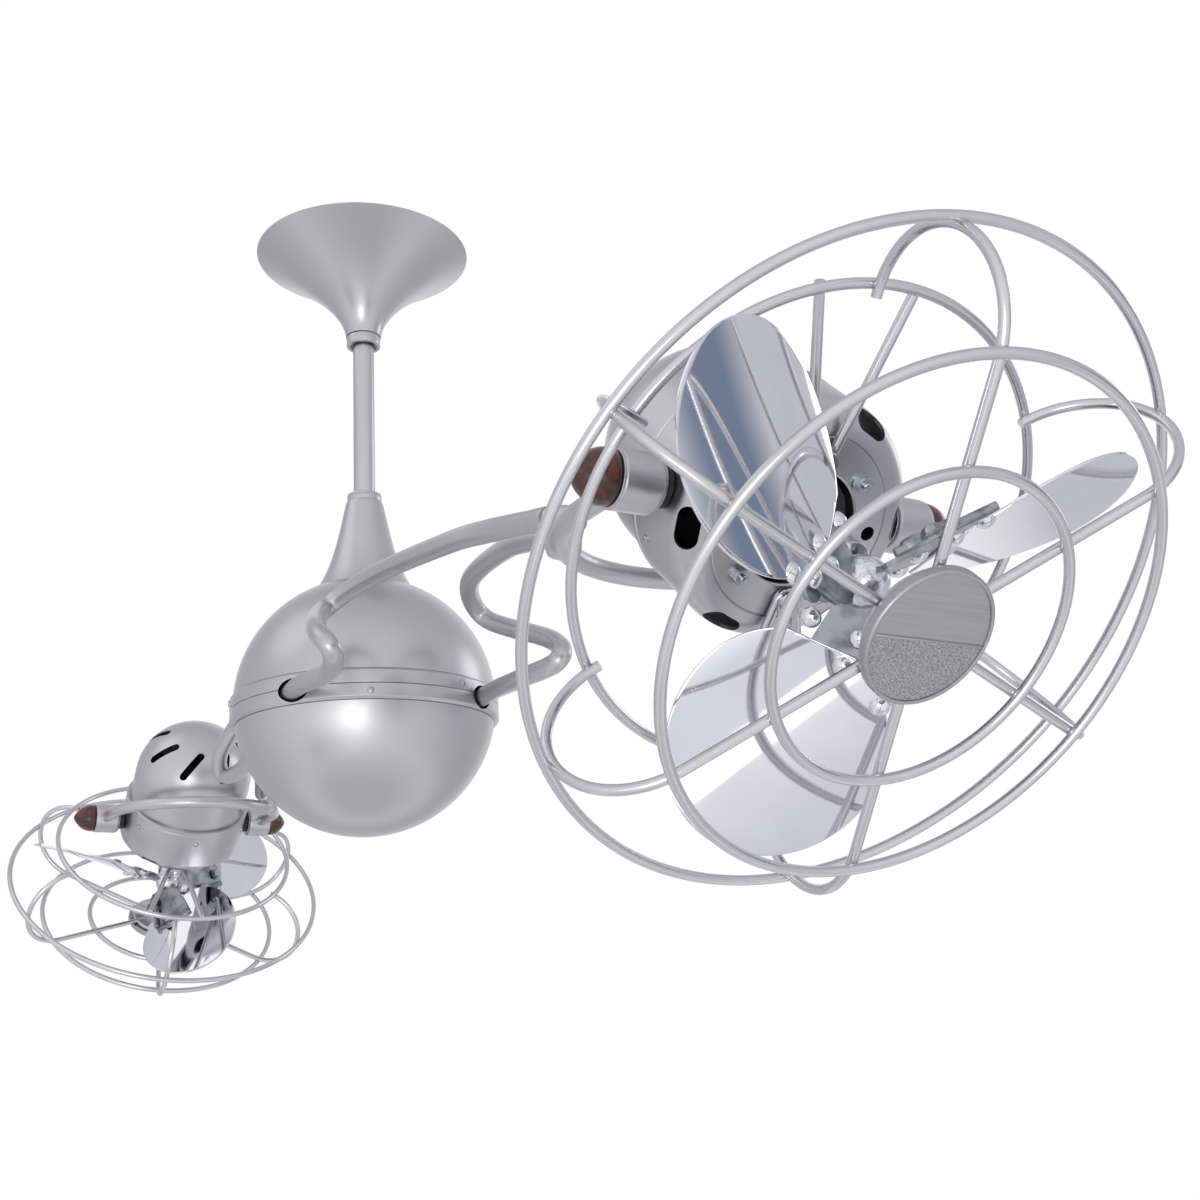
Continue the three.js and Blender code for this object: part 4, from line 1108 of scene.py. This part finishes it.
class FAN_OT_motors(bpy.types.Operator):
    """Models the two motor housings: rear dome with its slots and front cup with its openings"""

    bl_idname = "fan.motors"
    bl_label = "Motor housings"

    def execute(self, context):
        nickel = finish_of("satin_nickel_plate")
        dome = self.dome()
        cup = self.cup()
        for letter in "ab":
            place = head_place(letter)
            piece = copied(dome, f"motor_rear_dome_{letter}", place)
            finished(piece, f"head_{letter}", "spun_nickel", nickel, f"rear_dome_{letter}")
            piece = copied(cup, f"motor_front_cup_{letter}", place)
            finished(piece, f"head_{letter}", "spun_nickel", nickel, f"front_cup_{letter}")
        bpy.data.objects.remove(dome)
        bpy.data.objects.remove(cup)
        self.fasteners()
        return {"FINISHED"}

    def dome(self):
        """The hollow rear dome with its ring of slanted slots."""
        inner = DOME_RADIUS - DOME_WALL
        profile = arc(DOME_RADIUS, 0, DOME_CENTRE, -90, 0, 40)
        profile += [(DOME_RADIUS, DOME_FRONT), (inner, DOME_FRONT)]
        profile += arc(inner, 0, DOME_CENTRE, 0, -90, 30)
        dome = spun("dome", profile, steps=120)
        slot = stadium("louvre", LOUVRE_LENGTH, LOUVRE_WIDTH, 24)
        tilted = shift(0, 0, DOME_CENTRE) @ turn_y(LOUVRE_POLAR) @ shift(0, 0, -DOME_RADIUS)
        slanted = tilted @ turn_z(LOUVRE_SLANT)
        places = [turn_z(360 / LOUVRE_COUNT * (i + 0.5)) @ slanted for i in range(LOUVRE_COUNT)]
        cut_away(dome, arrayed("louvres", slot, places))
        return closed_up(dome)

    def cup(self):
        """The drawn front cup, with a bead at its rim, a crease round its face and its oval openings."""
        centre = CUP_FRONT - CUP_ROUND
        corner = CUP_RADIUS - CUP_ROUND
        lip = DOME_RADIUS + FIT
        lap = CUP_REAR + 3
        profile = [
            (lip, CUP_REAR),
            (CUP_RADIUS - 0.8, CUP_REAR),
            (CUP_RADIUS, CUP_REAR + 0.8),
            (CUP_RADIUS, CUP_REAR + 3.4),
            (CUP_RADIUS - 0.7, CUP_REAR + 4.1),
            (CUP_RADIUS - 0.7, CUP_REAR + 5.2),
            (CUP_RADIUS - 0.3, CUP_REAR + 5.8),
            *arc(CUP_ROUND - 0.3, corner, centre, 0, 78, 12),
            (56.4, CUP_FRONT - 0.4),
            (55.6, CUP_FRONT - 1),
            (54.8, CUP_FRONT),
            (CUP_HOLE + 1, CUP_FRONT),
            (CUP_HOLE, CUP_FRONT - 0.8),
            (CUP_HOLE, CUP_FRONT - CUP_WALL),
            *arc(CUP_ROUND - CUP_WALL, corner, centre, 78, 0, 8),
            (CUP_RADIUS - CUP_WALL, lap),
            (lip, lap),
            (lip, CUP_REAR),
        ]
        cup = spun("cup", profile, steps=120)
        vent = stadium("vent", 25, 14, 14)
        reach = corner + CUP_ROUND * math.sqrt(0.5)
        height = centre + CUP_ROUND * math.sqrt(0.5)
        first_vent = 10
        on_corner = shift(reach, 0, height) @ turn_y(45) @ turn_z(90)
        places = [turn_z(first_vent + 60 * i) @ on_corner for i in range(6)]
        cut_away(cup, arrayed("vents", vent, places))
        wire_hole = spun("wire_hole", [(0, 20), (4.4, 20), (4.4, 40), (0, 40)], steps=32)
        cut_away(cup, moved(wire_hole, turn_z(4) @ shift(47, 0, 0)))
        return closed_up(cup)

    def fasteners(self):
        """Nuts on threaded ends in the cup's face, screws in its side and one in the motor's nose."""
        zinc = finish_of("zinc_plated_steel")
        nut = hex_nut("nut", 5.2, 4)
        end = spun("end", [(0, 1), (2.3, 1), (2.3, 5.6), (1.7, 6.2), (0, 6.4)], steps=28)
        washer = spun("washer", [(0, -0.6), (6.3, -0.6), (6.3, 0.3), (0, 0.3)], steps=36)
        stud = closed_up(joined("stud", nut, end, washer), 30)
        screw = round_head("screw", 4, 2.3, 5, 1.2)
        stud_reach = 43
        for letter in "ab":
            head = head_place(letter)
            places = [head @ turn_z(angle) @ shift(stud_reach, 0, CUP_FRONT + 0.7) for angle in (49, 229)]
            studs = arrayed("cup_studs", copied(stud, "stud", Matrix()), places)
            finished(named(studs, f"cup_studs_{letter}"), f"head_{letter}", "zinc_steel", zinc)
            places = [
                head @ turn_z(angle) @ shift(CUP_RADIUS, 0, -14) @ turn_y(90) @ turn_z(angle)
                for angle in (30, 90, 150, 210, 270, 330)
            ]
            places.append(head @ turn_z(118) @ shift(22, 0, 27.2))
            screws = arrayed("cup_screws", copied(screw, "screw", Matrix()), places)
            finished(named(screws, f"cup_screws_{letter}"), f"head_{letter}", "zinc_steel", zinc)
        bpy.data.objects.remove(stud)
        bpy.data.objects.remove(screw)


class FAN_OT_cages(bpy.types.Operator):
    """Models the two wire guards with their hooked ribs, struts, bolts and badges"""

    bl_idname = "fan.cages"
    bl_label = "Guards"

    def execute(self, context):
        wire = context.scene.fan_sizes.wire * 500
        nickel = finish_of("nickel_plated_wire")
        cage = self.cage(wire)
        for letter in "ab":
            piece = copied(cage, f"guard_{letter}", head_place(letter))
            finished(piece, f"head_{letter}", "nickel_steel", nickel, f"cage_{letter}")
        bpy.data.objects.remove(cage)
        self.bolts()
        self.badges()
        return {"FINISHED"}

    def cage(self, wire):
        """Four rings, six hooked ribs, the plate behind the medallion and the struts, as one guard."""
        parts = []
        for radius, height in (BACK_RING, OUTER_RING, FRONT_RING, INNER_RING):
            free()
            bpy.ops.mesh.primitive_torus_add(
                location=(0, 0, mm(height)),
                major_segments=int(radius * 1.1) // 12 * 12,
                minor_segments=14,
                major_radius=mm(radius),
                minor_radius=mm(wire),
            )
            ring = bpy.context.object
            bpy.ops.object.transform_apply(location=True, rotation=True, scale=True)
            parts.append(closed_up(ring, 60))
        half = (RIB_PLANE - RIB_END_PLANE) / 2
        points = [(reach, 0, RIB_PLANE) for reach in (8, 40, 80, 110, 128)]
        for i in range(33):
            angle = math.pi * i / 32
            height = RIB_PLANE - half * (1 - math.cos(angle))
            points.append((RIB_BEND_START + RIB_REACH * math.sin(angle), 0, height))
        rib = piped("rib", points, wire, sides=14)
        parts.append(arrayed("ribs", rib, [turn_z(40 + 60 * i) for i in range(6)]))
        plate_radius = 34
        back = RIB_PLANE - 2.2
        front = MEDALLION_BACK - 0.5
        plate = [(0, back), (plate_radius, back), (plate_radius, front), (0, front)]
        parts.append(spun("hub_plate", rounded(plate, 1.2), steps=64))
        parts.append(arrayed("struts", self.strut(wire), [turn_z(turn) for turn in STRUT_TURNS]))
        return closed_up(joined("cage", *parts), 60)

    def strut(self, wire):
        """One wire from the back ring, round its bolt and back, its ends run a little past the ring."""
        spread = math.radians(STRUT_SPREAD)
        radius, plane = BACK_RING
        foot = Vector((STRUT_BOLT, EYELET_RADIUS, EYELET_PLANE))
        end = Vector((radius * math.cos(spread), radius * math.sin(spread), plane - 4))
        end += (end - foot).normalized() * 2
        leg = [end.lerp(foot, i / 8) for i in range(9)]
        points = list(leg)
        for i in range(1, 12):
            angle = math.pi / 2 + math.pi * i / 12
            along = STRUT_BOLT + EYELET_RADIUS * math.cos(angle)
            points.append(Vector((along, EYELET_RADIUS * math.sin(angle), EYELET_PLANE)))
        points += [Vector((spot.x, -spot.y, spot.z)) for spot in reversed(leg)]
        return piped("strut", points, wire, sides=14)

    def bolts(self):
        """The washer, nut and bolt end that clamp each strut's eyelet."""
        zinc = finish_of("zinc_plated_steel")
        seat = EYELET_PLANE + 3.1
        root = seat - 6
        shank = 2.2
        face = seat + 1.1
        flange = 8
        washer = [(0, root), (shank, root), (shank, seat), (flange, seat), (flange, face), (0, face)]
        washer = spun("bolt_washer", rounded(washer, 0.2), steps=40)
        nut = moved(hex_nut("bolt_nut", 6.5, 4.6), shift(0, 0, face))
        thread = 2.6
        start = seat + 3
        tip = seat + 7.3
        end = [(0, start), (thread, start), (thread, tip - 0.9), (thread - 0.6, tip - 0.2), (0, tip)]
        end = spun("bolt_end", end, steps=32)
        bolt = closed_up(joined("bolt", washer, nut, end), 30)
        for letter in "ab":
            for number, turn in enumerate(STRUT_TURNS, 1):
                place = head_place(letter) @ turn_z(turn) @ shift(STRUT_BOLT, 0, 0)
                piece = copied(bolt, f"strut_nut_{letter}_{number}", place)
                finished(piece, f"head_{letter}", "zinc_steel", zinc, f"strut_bolt_{letter}_{number}")
        bpy.data.objects.remove(bolt)

    def badges(self):
        """A bare round medallion: raised rim, a bar across it and a stippled lower half."""
        back = MEDALLION_BACK
        front = back + MEDALLION_DEPTH
        edge = MEDALLION_RADIUS
        face = front - 1.2
        bar_height = -1.2
        profile = [
            (0, back),
            (edge - 0.6, back),
            (edge, back + 0.6),
            (edge, front - 1.3),
            (edge - 0.6, front - 0.3),
            (edge - 1.2, front),
            (edge - 1.8, front),
            (edge - 2.4, front - 0.4),
            (edge - 2.6, face),
            (0, face),
        ]
        badge = spun("badge", profile, steps=112, sharp=40)
        free()
        bpy.ops.mesh.primitive_cube_add(size=1, location=(0, mm(bar_height), mm(front - 1)))
        bar = bpy.context.object
        bar.scale = (mm(2 * edge - 5.6), mm(1.1), mm(1.3))
        bpy.ops.object.transform_apply(location=True, rotation=True, scale=True)
        changed(bar, "BEVEL", width=mm(0.35), segments=3)
        badge = closed_up(joined("badge", badge, bar), 40)
        bright = finish_of("brushed_badge_nickel")
        dark = finish_of("antiqued_cast_badge")
        for letter in "ab":
            place = head_place(letter)
            piece = copied(badge, f"front_badge_{letter}", place)
            finished(piece, f"head_{letter}", "badge_nickel", bright, f"medallion_{letter}")
            low = face - 0.1
            high = face + 0.15
            field = spun("field", [(0, low), (edge - 3, low), (edge - 3, high), (0, high)], steps=96)
            halve(field, bar_height)
            copy = moved(named(field, f"badge_field_{letter}"), place)
            finished(copy, f"head_{letter}", "badge_nickel", dark)
        bpy.data.objects.remove(badge)


def halve(piece, height):
    """Keeps the part of a flat piece below a line along X, and closes its cut."""
    pick(piece)
    bpy.ops.object.mode_set(mode="EDIT")
    bpy.ops.mesh.select_all(action="SELECT")
    bpy.ops.mesh.bisect(
        plane_co=(0, mm(height), 0), plane_no=(0, 1, 0), use_fill=True, clear_outer=True
    )
    bpy.ops.object.mode_set(mode="OBJECT")
    return closed_up(piece)


def hex_nut(name, radius, height):
    """A hexagon nut with chamfered corners, standing on z = 0."""
    free()
    bpy.ops.mesh.primitive_cylinder_add(
        vertices=6, radius=mm(radius), depth=mm(height), location=(0, 0, mm(height / 2))
    )
    nut = named(bpy.context.object, name)
    bpy.ops.object.transform_apply(location=True, rotation=True, scale=True)
    cone = spun(
        "chamfer",
        [
            (0, -1),
            (radius * 0.93, -1),
            (radius * 1.0, 0.7),
            (radius * 1.0, height - 0.8),
            (radius * 0.86, height),
            (radius * 0.86, height + 1),
            (0, height + 1),
        ],
        steps=36,
    )
    changed(nut, "BOOLEAN", operation="INTERSECT", solver="EXACT", object=cone)
    bpy.data.objects.remove(cone)
    return closed_up(nut, 25)


def blade_place(along, across, lift):
    """A point of the pitched, twisted and cupped blade, in millimetres."""
    outward = (along - BLADE_MIDDLE) / BLADE_HALF_LENGTH
    pitch = math.radians(BLADE_PITCH - BLADE_TWIST * outward)
    height = lift - BLADE_CUP * ((across - BLADE_SHIFT) / BLADE_HALF_WIDTH) ** 2
    return Vector(
        (
            along,
            across * math.cos(pitch) - height * math.sin(pitch),
            BLADE_PLACE + across * math.sin(pitch) + height * math.cos(pitch),
        )
    )


def sheet_bent(piece):
    """Bends a flat piece, drawn as along, across and lift, onto the blade's surface."""
    for vertex in piece.data.vertices:
        along, across, lift = (part * 1000 for part in vertex.co)
        vertex.co = blade_place(along, across, lift) / 1000
    return piece


class FAN_OT_rotors(bpy.types.Operator):
    """Models the two rotors: hub with its nose, blade irons, blades and rivets"""

    bl_idname = "fan.rotors"
    bl_label = "Rotors"

    def execute(self, context):
        chrome = finish_of("polished_chrome")
        zinc = finish_of("galvanised_blade_iron")
        nose = finish_of("hand_polished_casting")
        hub = self.hub()
        iron = self.iron()
        rivets = self.rivets()
        blade = self.blade(context.scene.fan_sizes.blade * 1000)
        for letter in "ab":
            place = head_place(letter)
            body = f"rotor_{letter}"
            finished(copied(hub, f"hub_nose_{letter}", place), body, "mirror_chrome", nose, f"hub_{letter}")
            for number in range(1, BLADE_COUNT + 1):
                turned = place @ turn_z(BLADE_TURN + 360 / BLADE_COUNT * (number - 1))
                piece = copied(iron, f"blade_iron_{letter}_{number}", turned)
                finished(piece, body, "zinc_steel", zinc)
                piece = copied(rivets, f"blade_rivets_{letter}_{number}", turned)
                finished(piece, body, "mirror_chrome", chrome)
                piece = copied(blade, f"paddle_{letter}_{number}", turned)
                finished(piece, body, "mirror_chrome", chrome, f"blade_{letter}_{number}")
        for piece in (hub, iron, rivets, blade):
            bpy.data.objects.remove(piece)
        return {"FINISHED"}

    def hub(self):
        """The shaft, the hub on it and the ball nose on a short neck."""
        neck = NOSE_PLACE - math.sqrt(NOSE_RADIUS**2 - HUB_NECK**2)
        start = -math.degrees(math.acos(HUB_NECK / NOSE_RADIUS))
        shaft = [
            (0, SHAFT_END),
            (SHAFT_RADIUS, SHAFT_END),
            (SHAFT_RADIUS, HUB_BACK),
            (HUB_RADIUS, HUB_BACK),
            (HUB_RADIUS, neck - 4),
            (HUB_NECK, neck),
        ]
        nose = arc(NOSE_RADIUS, 0, NOSE_PLACE, start, 90, 24)
        return spun("hub", rounded(shaft, 0.8) + nose, steps=72)

    def iron_half(self, out):
        """Half the width of a blade iron, which widens along its length."""
        return 12 + 11 * out**0.6

    def iron(self):
        """A stamped strap behind the blade's root, with one edge bent back, two pads and two bolts."""
        free()
        bpy.ops.mesh.primitive_grid_add(x_subdivisions=24, y_subdivisions=16, size=2)
        strap = bpy.context.object
        sheet = 3
        for vertex in strap.data.vertices:
            out = (vertex.co.x + 1) / 2
            side = vertex.co.y
            tip = IRON_START + IRON_LENGTH * out + 2 * out * (1 - side * side)
            vertex.co = (mm(tip), mm(IRON_SHIFT + side * self.iron_half(out)), mm(-sheet - FIT))
        changed(strap, "SOLIDIFY", thickness=mm(sheet), offset=1)
        parts = [strap]
        edge = []
        for i in range(13):
            out = 0.1 + 0.88 * i / 12
            edge.append((IRON_START + IRON_LENGTH * out, IRON_SHIFT + self.iron_half(out) - 2, -5.2))
        parts.append(piped("lip", edge, 3.2, sides=12))
        for along, across in ((26, 20), (44, 23)):
            pad = spun("pad", [(0, 3), *arc(3.4, 2.6, -0.4, 90, 0, 6), (6, -3), (0, -3)], steps=24)
            parts.append(moved(pad, shift(along, across, -7.4) @ Matrix.Diagonal((1.5, 1, -1, 1))))
        for along, across in ((34, 26), (72, 12)):
            nut = moved(hex_nut("head", 5.2, 3.8), shift(along, across, -6.4) @ turn_y(180))
            washer = spun("washer", [(0, -6.7), (6.6, -6.7), (6.6, -5.4), (0, -5.4)], steps=32)
            parts += [nut, moved(washer, shift(along, across, 0))]
        iron = joined("iron", *parts)
        sheet_bent(iron)
        return closed_up(iron, 40)

    def rivets(self):
        """Round rivet heads on the blade's root and on the bare end of its iron."""
        parts = []
        foot = -1.4
        crown = arc(6.6, 0, -3.5, 90, 26, 9)[1:]
        rivet = spun("rivet", [(0, 3.1), *crown, (5.7, foot), (0, foot)], steps=32)
        on_blade = 1.6
        on_iron = -0.3
        for along, across in ((30, -18), (30, 10), (47, 8), (44, 26), (60, 34)):
            lift = on_blade if along > BLADE_ROOT else on_iron
            spot = blade_place(along, across, lift)
            normal = blade_place(along, across, lift + 1) - spot
            turn = normal.to_track_quat("Z", "X").to_matrix().to_4x4()
            parts.append(copied(rivet, "rivet", Matrix.Translation(spot / 1000) @ turn))
        bpy.data.objects.remove(rivet)
        return joined("rivets", *parts)

    def blade(self, thickness):
        """An oval paddle, cut straight at its root, given its wall and bent to pitch and twist."""
        free()
        bpy.ops.mesh.primitive_grid_add(x_subdivisions=56, y_subdivisions=56, size=2)
        paddle = bpy.context.object
        for vertex in paddle.data.vertices:
            x, y = vertex.co.x, vertex.co.y
            out = x * math.sqrt(1 - y * y / 2)
            side = y * math.sqrt(1 - x * x / 2)
            vertex.co = (
                mm(BLADE_MIDDLE + BLADE_HALF_LENGTH * out),
                mm(BLADE_SHIFT + BLADE_HALF_WIDTH * side),
                0,
            )
        bpy.ops.object.mode_set(mode="EDIT")
        bpy.ops.mesh.select_all(action="SELECT")
        bpy.ops.mesh.bisect(plane_co=(mm(BLADE_ROOT), 0, 0), plane_no=(1, 0, 0), clear_inner=True)
        bpy.ops.object.mode_set(mode="OBJECT")
        changed(paddle, "SOLIDIFY", thickness=mm(thickness), offset=1)
        sheet_bent(paddle)
        changed(paddle, "BEVEL", width=mm(0.5), segments=2, limit_method="ANGLE")
        return closed_up(named(paddle, "paddle"), 40)


class FAN_OT_frame_finishes(bpy.types.Operator):
    """Gives the CAD nodes that stay in the model their finishes"""

    bl_idname = "fan.frame_finishes"
    bl_label = "Inner parts"

    def execute(self, context):
        kept = {
            "zinc_plated_steel": [
                "hanger_bracket",
                "hanger_pin",
                "spindle",
                "upper_bearing",
                "lower_bearing",
            ],
            "cast_aluminium": ["hanger_ball", "arm_plate"],
            "turned_brass": ["slip_ring"],
            "moulded_black_nylon": ["brush_block"],
            "black_motor_enamel": ["motor_core_a", "motor_core_b"],
        }
        for letter in "ab":
            for _, hand in HANDS:
                kept["zinc_plated_steel"].append(f"pivot_pin_{letter}_{hand}")
        for finish, names in kept.items():
            for name in names:
                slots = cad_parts[name].data.materials
                slots.clear()
                slots.append(finish_of(finish))
        return {"FINISHED"}


class FAN_OT_stage(bpy.types.Operator):
    """Sets the pale floor, the white surroundings, the soft lamps and the camera"""

    bl_idname = "fan.stage"
    bl_label = "Stage"

    def execute(self, context):
        self.floor()
        self.surroundings(context.scene)
        self.lamps()
        self.camera(context.scene)
        context.scene.view_settings.view_transform = "Standard"
        return {"FINISHED"}

    def floor(self):
        """A pale round floor well below the fan that fades into the white round it, in metres."""
        drop = 3.4
        fade_start = 1.2
        fade_end = 2.8
        free()
        bpy.ops.mesh.primitive_circle_add(vertices=128, radius=3, fill_type="NGON", location=(0, 0, -drop))
        floor = named(bpy.context.object, "pale_floor")
        material, shader, place = finish_named("pale_matt_floor")
        reach = node(material, "ShaderNodeVectorMath", {0: place}, operation="LENGTH").outputs["Value"]
        edge = node(
            material, "ShaderNodeMapRange", {"Value": reach}, From_Min=fade_start, From_Max=fade_end
        )
        set_inputs(shader, Base_Color=colour("EFEFEF"), Roughness=0.9)
        white = node(material, "ShaderNodeEmission", Color=(1, 1, 1, 1), Strength=1.0)
        mixed = node(
            material,
            "ShaderNodeMixShader",
            {0: edge.outputs["Result"], 1: shader.outputs["BSDF"], 2: white.outputs["Emission"]},
        )
        output = next(n for n in material.node_tree.nodes if n.bl_idname == "ShaderNodeOutputMaterial")
        link(material, mixed.outputs["Shader"], output.inputs["Surface"])
        floor.data.materials.append(material)

    def surroundings(self, scene):
        """White behind the fan, light from the camera's side, and two grey flags for the mirrors."""
        world = bpy.data.worlds.new("white_studio")
        world.use_nodes = True
        world.node_tree.nodes.clear()
        scene.world = world
        direction = node(world, "ShaderNodeTexCoord").outputs["Generated"]
        # From the darkest grey behind the fan, through the sides, to white on the camera's side
        front = self.toward(world, direction, -38, -12, -1.0, 1.0)
        greys = [
            (0.0, "CBCBCF"),
            (0.25, "CDCDD1"),
            (0.4, "D4D4D8"),
            (0.55, "DFDFE2"),
            (0.7, "EDEDEF"),
            (0.85, "FDFDFD"),
            (1.0, "FFFFFF"),
        ]
        stops = [(share, colour(code)) for share, code in greys]
        studio = node(world, "ShaderNodeValToRGB", {"Fac": front}, stops=stops).outputs["Color"]
        # The backdrop is what the camera looks at, and each flag is what some of the blades mirror
        backdrop = self.toward(world, direction, 148.7, 16.4, 0.8, 0.92)
        flag = self.toward(world, direction, 62, 5, 0.975, 0.996)
        low_flag = self.toward(world, direction, -60, -50, 0.91, 0.965)
        seen = node(world, "ShaderNodeLightPath")
        direct = node(
            world,
            "ShaderNodeMath",
            {0: seen.outputs["Is Camera Ray"], 1: seen.outputs["Is Transmission Ray"]},
            operation="MAXIMUM",
        ).outputs["Value"]
        white = (1, 1, 1, 1)
        light = studio
        layers = (
            (backdrop, white),
            (flag, colour("7C889C")),
            (low_flag, colour("9C9CA8")),
            (direct, white),
        )
        for share, code in layers:
            mixed = node(world, "ShaderNodeMix", data_type="RGBA")
            link(world, share, mixed.inputs["Factor"])
            link(world, light, mixed.inputs[6])
            mixed.inputs[7].default_value = code
            light = mixed.outputs[2]
        glow = node(world, "ShaderNodeBackground", {"Color": light}, Strength=1.0)
        node(world, "ShaderNodeOutputWorld", {"Surface": glow.outputs["Background"]})

    def toward(self, world, direction, azimuth, elevation, low, high):
        """How near a direction is to one in the room, as a share between two cosines."""
        turn, rise = math.radians(azimuth), math.radians(elevation)
        facing = node(world, "ShaderNodeVectorMath", {0: direction}, operation="DOT_PRODUCT")
        facing.inputs[1].default_value = (
            math.cos(rise) * math.cos(turn),
            math.cos(rise) * math.sin(turn),
            math.sin(rise),
        )
        return node(
            world, "ShaderNodeMapRange", {"Value": facing.outputs["Value"]}, From_Min=low, From_Max=high
        ).outputs["Result"]

    def lamps(self):
        """A wide soft lamp low on the camera's side with a brighter core, one above and one at the side."""
        target = Vector((0.1, 0, -0.45))
        # Each lamp's azimuth and elevation, then its reach and size in metres and its power in watts
        for name, azimuth, elevation, reach, size, power in (
            ("front_softbox", -42, -27, 2.8, 2.4, 7),
            ("core_softbox", -33, -20, 3.0, 0.9, 6.5),
            ("upper_softbox", -112, 48, 3.0, 2.0, 4),
            ("side_softbox", 88, 20, 3.0, 1.1, 4.5),
        ):
            turn, rise = math.radians(azimuth), math.radians(elevation)
            way = Vector((math.cos(rise) * math.cos(turn), math.cos(rise) * math.sin(turn), math.sin(rise)))
            place = target + way * reach
            free()
            bpy.ops.object.light_add(type="AREA", location=place)
            lamp = bpy.context.object
            lamp.name = name
            lamp.data.shape = "DISK"
            lamp.data.size = size
            lamp.data.energy = power
            lamp.rotation_euler = (target - place).to_track_quat("-Z", "Y").to_euler()

    def camera(self, scene):
        """The camera of the photograph, as its place, its view and its roll were fitted."""
        forward = Vector((-0.81938, 0.49858, 0.28292)).normalized()
        roll = 0.0539
        level = forward.cross(Vector((0, 0, 1))).normalized()
        upright = level.cross(forward)
        right = level * math.cos(roll) - upright * math.sin(roll)
        up = upright * math.cos(roll) + level * math.sin(roll)
        free()
        bpy.ops.object.camera_add(location=(1.2436, -0.4970, -0.7653))
        camera = bpy.context.object
        camera.name = "photo_camera"
        turn = Matrix((right, up, -forward)).transposed().to_4x4()
        camera.matrix_world = Matrix.Translation(camera.location) @ turn
        camera.data.sensor_width = 36
        camera.data.lens = 43.77
        camera.data.clip_end = 100
        scene.camera = camera


class FAN_PT_pieces(bpy.types.Panel):
    """Lists the fan's pieces in the sidebar"""

    bl_label = "Ceiling fan"
    bl_idname = "FAN_PT_pieces"
    bl_space_type = "VIEW_3D"
    bl_region_type = "UI"
    bl_category = "Ceiling fan"

    def draw(self, context):
        for group in (context.scene.fan_sizes, context.scene.fan_colours):
            for name in group.__annotations__:
                self.layout.prop(group, name)
        for operator in OPERATORS:
            self.layout.operator(operator.bl_idname)


OPERATORS = (
    FAN_OT_stage,
    FAN_OT_frame_finishes,
    FAN_OT_canopy,
    FAN_OT_ball,
    FAN_OT_arms,
    FAN_OT_yokes,
    FAN_OT_motors,
    FAN_OT_cages,
    FAN_OT_rotors,
)
CLASSES = (FanSizes, FanColours, *OPERATORS, FAN_PT_pieces)


def register():
    for kind in CLASSES:
        bpy.utils.register_class(kind)
    bpy.types.Scene.fan_sizes = bpy.props.PointerProperty(type=FanSizes)
    bpy.types.Scene.fan_colours = bpy.props.PointerProperty(type=FanColours)


def unregister():
    del bpy.types.Scene.fan_sizes
    del bpy.types.Scene.fan_colours
    for kind in reversed(CLASSES):
        bpy.utils.unregister_class(kind)


def main():
    register()
    bpy.ops.fan.stage()
    bpy.ops.fan.frame_finishes()
    bpy.ops.fan.canopy()
    bpy.ops.fan.ball()
    bpy.ops.fan.arms()
    bpy.ops.fan.yokes()
    bpy.ops.fan.motors()
    bpy.ops.fan.cages()
    bpy.ops.fan.rotors()
    free()


if __name__ == "__main__":
    main()
